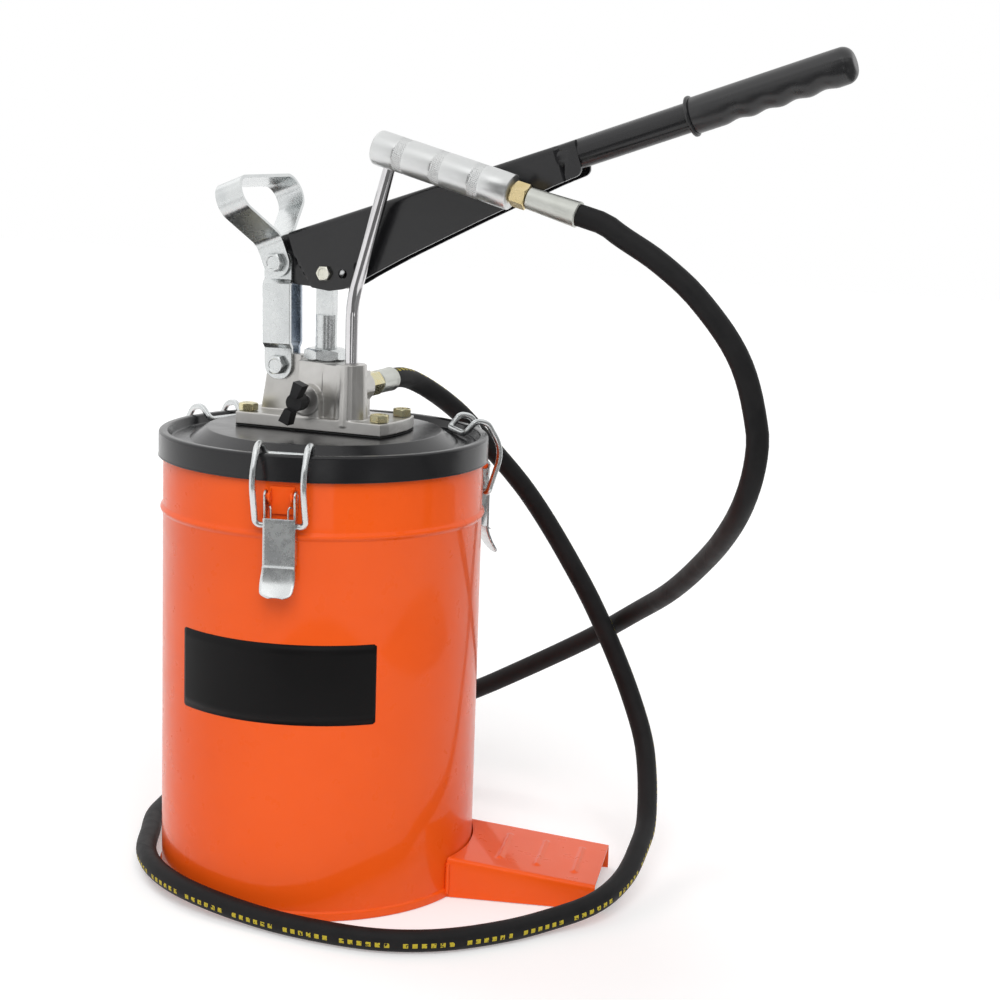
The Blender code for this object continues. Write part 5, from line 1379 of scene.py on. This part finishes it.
def latch_flank(spin, side):
    """A side of the plate, with its eye on the pivot and a hole for the wire."""
    outline = arc((LATCH_PIVOT_OUT, LATCH_PIVOT_Z), LATCH_EYE, 0, 180, 20)
    outline += [(LATCH_PIVOT_OUT - LATCH_EYE, LATCH_PIVOT_Z - 0.006), (LATCH_INNER, LATCH_PIVOT_Z - 0.012)]
    outline += [(LATCH_INNER, LATCH_CREASE + 0.004), (LATCH_INNER + 0.002, LATCH_CREASE + 0.001)]
    outline += [(LATCH_WEB, LATCH_CREASE + 0.001), (LATCH_WEB, LATCH_TOP - 0.002)]
    outline += [(LATCH_WEB - 0.0005, LATCH_TOP)]
    across = side * (LATCH_HALF - LATCH_SHEET / 2 - 0.0001)
    stand = Matrix.Translation((0.0, across, 0.0)) @ Matrix.Rotation(pi / 2, 4, "X")
    flank = extruded("flank", outline, LATCH_SHEET, spin @ stand)
    axis = spin @ Vector((0.0, 1.0, 0.0))
    pivot = cross_hole(spin @ Vector((LATCH_PIVOT_OUT, 0.0, LATCH_PIVOT_Z)), LATCH_PIVOT_HOLE, axis, 24)
    wire = cross_hole(spin @ Vector((WIRE_PIVOT_OUT, 0.0, WIRE_PIVOT_Z)), WIRE_PIVOT_HOLE, axis, 24)
    return bevel(combined(flank, [pivot, wire], "DIFFERENCE"), LATCH_EDGE)


def latch_prong(spin, side):
    """A thin bent prong at the top of the plate: places behind the web, across and above its top."""
    points = ((0.0003, 0.0062, -0.004), (0.0003, 0.0062, 0.0065))
    points += ((0.0015, 0.0072, 0.0088), (0.0030, 0.0082, 0.0075))
    path = [spin @ Vector((LATCH_WEB - back, side * across, LATCH_TOP + up)) for back, across, up in points]
    return tube("prong", rounded(path, 0.002, 5), PRONG_RADIUS, sides=10, round_ends=0.0003)


def make_latch_plate(name, spin):
    shapes = [latch_web(spin)]
    for side in (-1, 1):
        shapes += [latch_flank(spin, side), latch_prong(spin, side)]
    dress(merged(name + "_fine", shapes, sharp=35.0), name)


def make_latch_wire(name, spin):
    side = [
        (WIRE_PIVOT_OUT, LATCH_HALF - LATCH_SHEET - 0.0008, WIRE_PIVOT_Z),
        (WIRE_PIVOT_OUT, WIRE_HALF, WIRE_PIVOT_Z),
        (BUCKET_RADIUS + 0.0170, WIRE_HALF, WIRE_PIVOT_Z + 0.0335),
        (LID_RADIUS + 0.0008, WIRE_HALF, WIRE_HOOK_Z - 0.0018),
        (LID_RADIUS - 0.0085, WIRE_HALF, WIRE_HOOK_Z),
        (LID_RADIUS - 0.0173, WIRE_HALF - 0.0015, LID_CHANNEL + 0.0037),
    ]
    points = side + [(out, -across, up) for out, across, up in reversed(side)]
    bends = [0.006, 0.040, 0.009, 0.006, 0.004]
    path = rounded([spin @ Vector(p) for p in points], bends + bends[::-1], steps=9)
    dress(tube(name + "_fine", path, WIRE_RADIUS, sides=20, round_ends=0.0004), name)


# Floor, light and world


def stage_sheet(name, corners, material):
    obj = add(name, corners, [(0, 1, 2, 3)])
    obj.data.materials.append(material)
    return obj


def seen_rays(tree):
    """A factor that is 1 for camera, glossy and transmission rays."""
    path = tree.nodes.new("ShaderNodeLightPath")
    total = path.outputs["Is Camera Ray"]
    for kind in ("Is Glossy Ray", "Is Transmission Ray"):
        node = tree.nodes.new("ShaderNodeMath")
        node.operation = "MAXIMUM"
        tree.links.new(total, node.inputs[0])
        tree.links.new(path.outputs[kind], node.inputs[1])
        total = node.outputs["Value"]
    return total


def make_floor():
    shader = Shader("floor", Roughness=0.9, Specular_IOR_Level=0.0)
    dark, light = ((tone, tone, tone) for tone in FLOOR_TONES)
    shader.set(Base_Color=shader.ramp(shader.noise(2.0, 2.0, 0.5), (0.0, dark), (1.0, light)))
    lift = shader.math("MULTIPLY", seen_rays(shader.tree), FLOOR_LIFT)
    glow = shader.node("Emission", Strength=lift)
    both = shader.node("AddShader")
    shader.fill(both, {0: shader.bsdf.outputs["BSDF"], 1: glow.outputs["Emission"]})
    shader.surface(both.outputs["Shader"])
    half = FLOOR_SIZE / 2
    corners = [(x * half, y * half, FLOOR_Z) for x, y in ((-1, -1), (1, -1), (1, 1), (-1, 1))]
    stage_sheet("floor", corners, shader.material)


def make_world():
    world = bpy.data.worlds.new("studio")
    bpy.context.scene.world = world
    world.use_nodes = True
    tree = world.node_tree
    tree.nodes.clear()
    mix = tree.nodes.new("ShaderNodeMixShader")
    tree.links.new(seen_rays(tree), mix.inputs["Fac"])
    for i, level in ((1, WORLD_LEVEL), (2, 1.0)):
        light = tree.nodes.new("ShaderNodeBackground")
        light.inputs["Color"].default_value = WHITE
        light.inputs["Strength"].default_value = level
        tree.links.new(light.outputs["Background"], mix.inputs[i])
    output = tree.nodes.new("ShaderNodeOutputWorld")
    tree.links.new(mix.outputs["Shader"], output.inputs["Surface"])


def make_sun(name, place, spread, power):
    data = bpy.data.lights.new(name, "SUN")
    data.angle = radians(spread)
    data.energy = power
    light = placed(name, data)
    light.matrix_world = frame_along(place, place)
    light.visible_glossy = False


def make_reflection_card(name, place, aim, size, level, turn=0.0):
    """A card that only reflections see, dark or bright, as a studio hangs beside its camera."""
    shader = Shader(name)
    shader.surface(shader.node("Emission", Color=WHITE, Strength=level).outputs["Emission"])
    matrix = Matrix.Translation(place) @ aim.to_track_quat("-Z", "Y").to_matrix().to_4x4()
    matrix = matrix @ Matrix.Rotation(turn, 4, "Z")
    x, y = size[0] / 2, size[1] / 2
    corners = [matrix @ Vector(corner) for corner in ((-x, -y, 0), (x, -y, 0), (x, y, 0), (-x, y, 0))]
    card = stage_sheet(name, corners, shader.material)
    for kind in ("camera", "diffuse", "shadow", "transmission"):
        setattr(card, "visible_" + kind, False)


def make_studio():
    make_floor()
    make_world()
    for sun in SUNS:
        make_sun(*sun)
    front = Vector((CAMERA_PLACE.x, CAMERA_PLACE.y, 0.0)).normalized()
    for side, swing, level in DARK_CARDS:
        away = Matrix.Rotation(radians(swing), 3, "Z") @ front
        turn = atan2(away.y, away.x) + pi / 2
        place = away * CARD_AWAY + Vector((0.0, 0.0, CARD_Z))
        make_reflection_card("card_" + side, place, -away, CARD_SIZE, level)
        down, place = Vector((0.0, 0.0, -1.0)), away * LOW_CARD_AWAY
        make_reflection_card("low_card_" + side, place, down, LOW_CARD_SIZE, level - 0.02, turn)
    for name, bearing, rise, size, level in SOFTBOXES:
        bearing, rise = radians(bearing), radians(rise)
        away = Vector((cos(bearing) * cos(rise), sin(bearing) * cos(rise), sin(rise)))
        make_reflection_card(name, away * SOFTBOX_AWAY + SOFTBOX_CENTRE, -away, (size, size), level)
    bpy.context.scene.view_settings.view_transform = "Standard"


def main():
    make_camera()
    make_spout()
    make_nozzle_handle()
    make_hose(make_nozzle_fittings())
    make_bucket()
    make_label()
    make_pedal()
    make_pedal_welds()
    make_lid()
    make_head()
    make_fasteners()
    make_outlet()
    make_lever()
    make_grip()
    make_carry_handle()
    refine("link_front", STRAP_EDGE)
    # The rear link is the same plate as the front link; its darker, bluish zinc is painted shade and painted
    # reflection
    wear(refine("link_rear", STRAP_EDGE), "painted_shade_zinc")
    refine("plunger_rod", STRAP_EDGE)
    refine("bleed_knob", 0.0011, 4)
    refine("bleed_screw", 0.0004)
    for i, turn in enumerate(LATCH_TURNS, 1):
        spin = Matrix.Rotation(turn, 4, "Z")
        refine(f"latch_{i}_base", LATCH_EDGE)
        make_latch_plate(f"latch_{i}_plate", spin)
        make_latch_wire(f"latch_{i}_wire", spin)
    for name, obj in NODES.items():
        for slot in obj.material_slots:
            slot.material = LOOKS[SLOT_OF[name]]
    make_studio()


main()
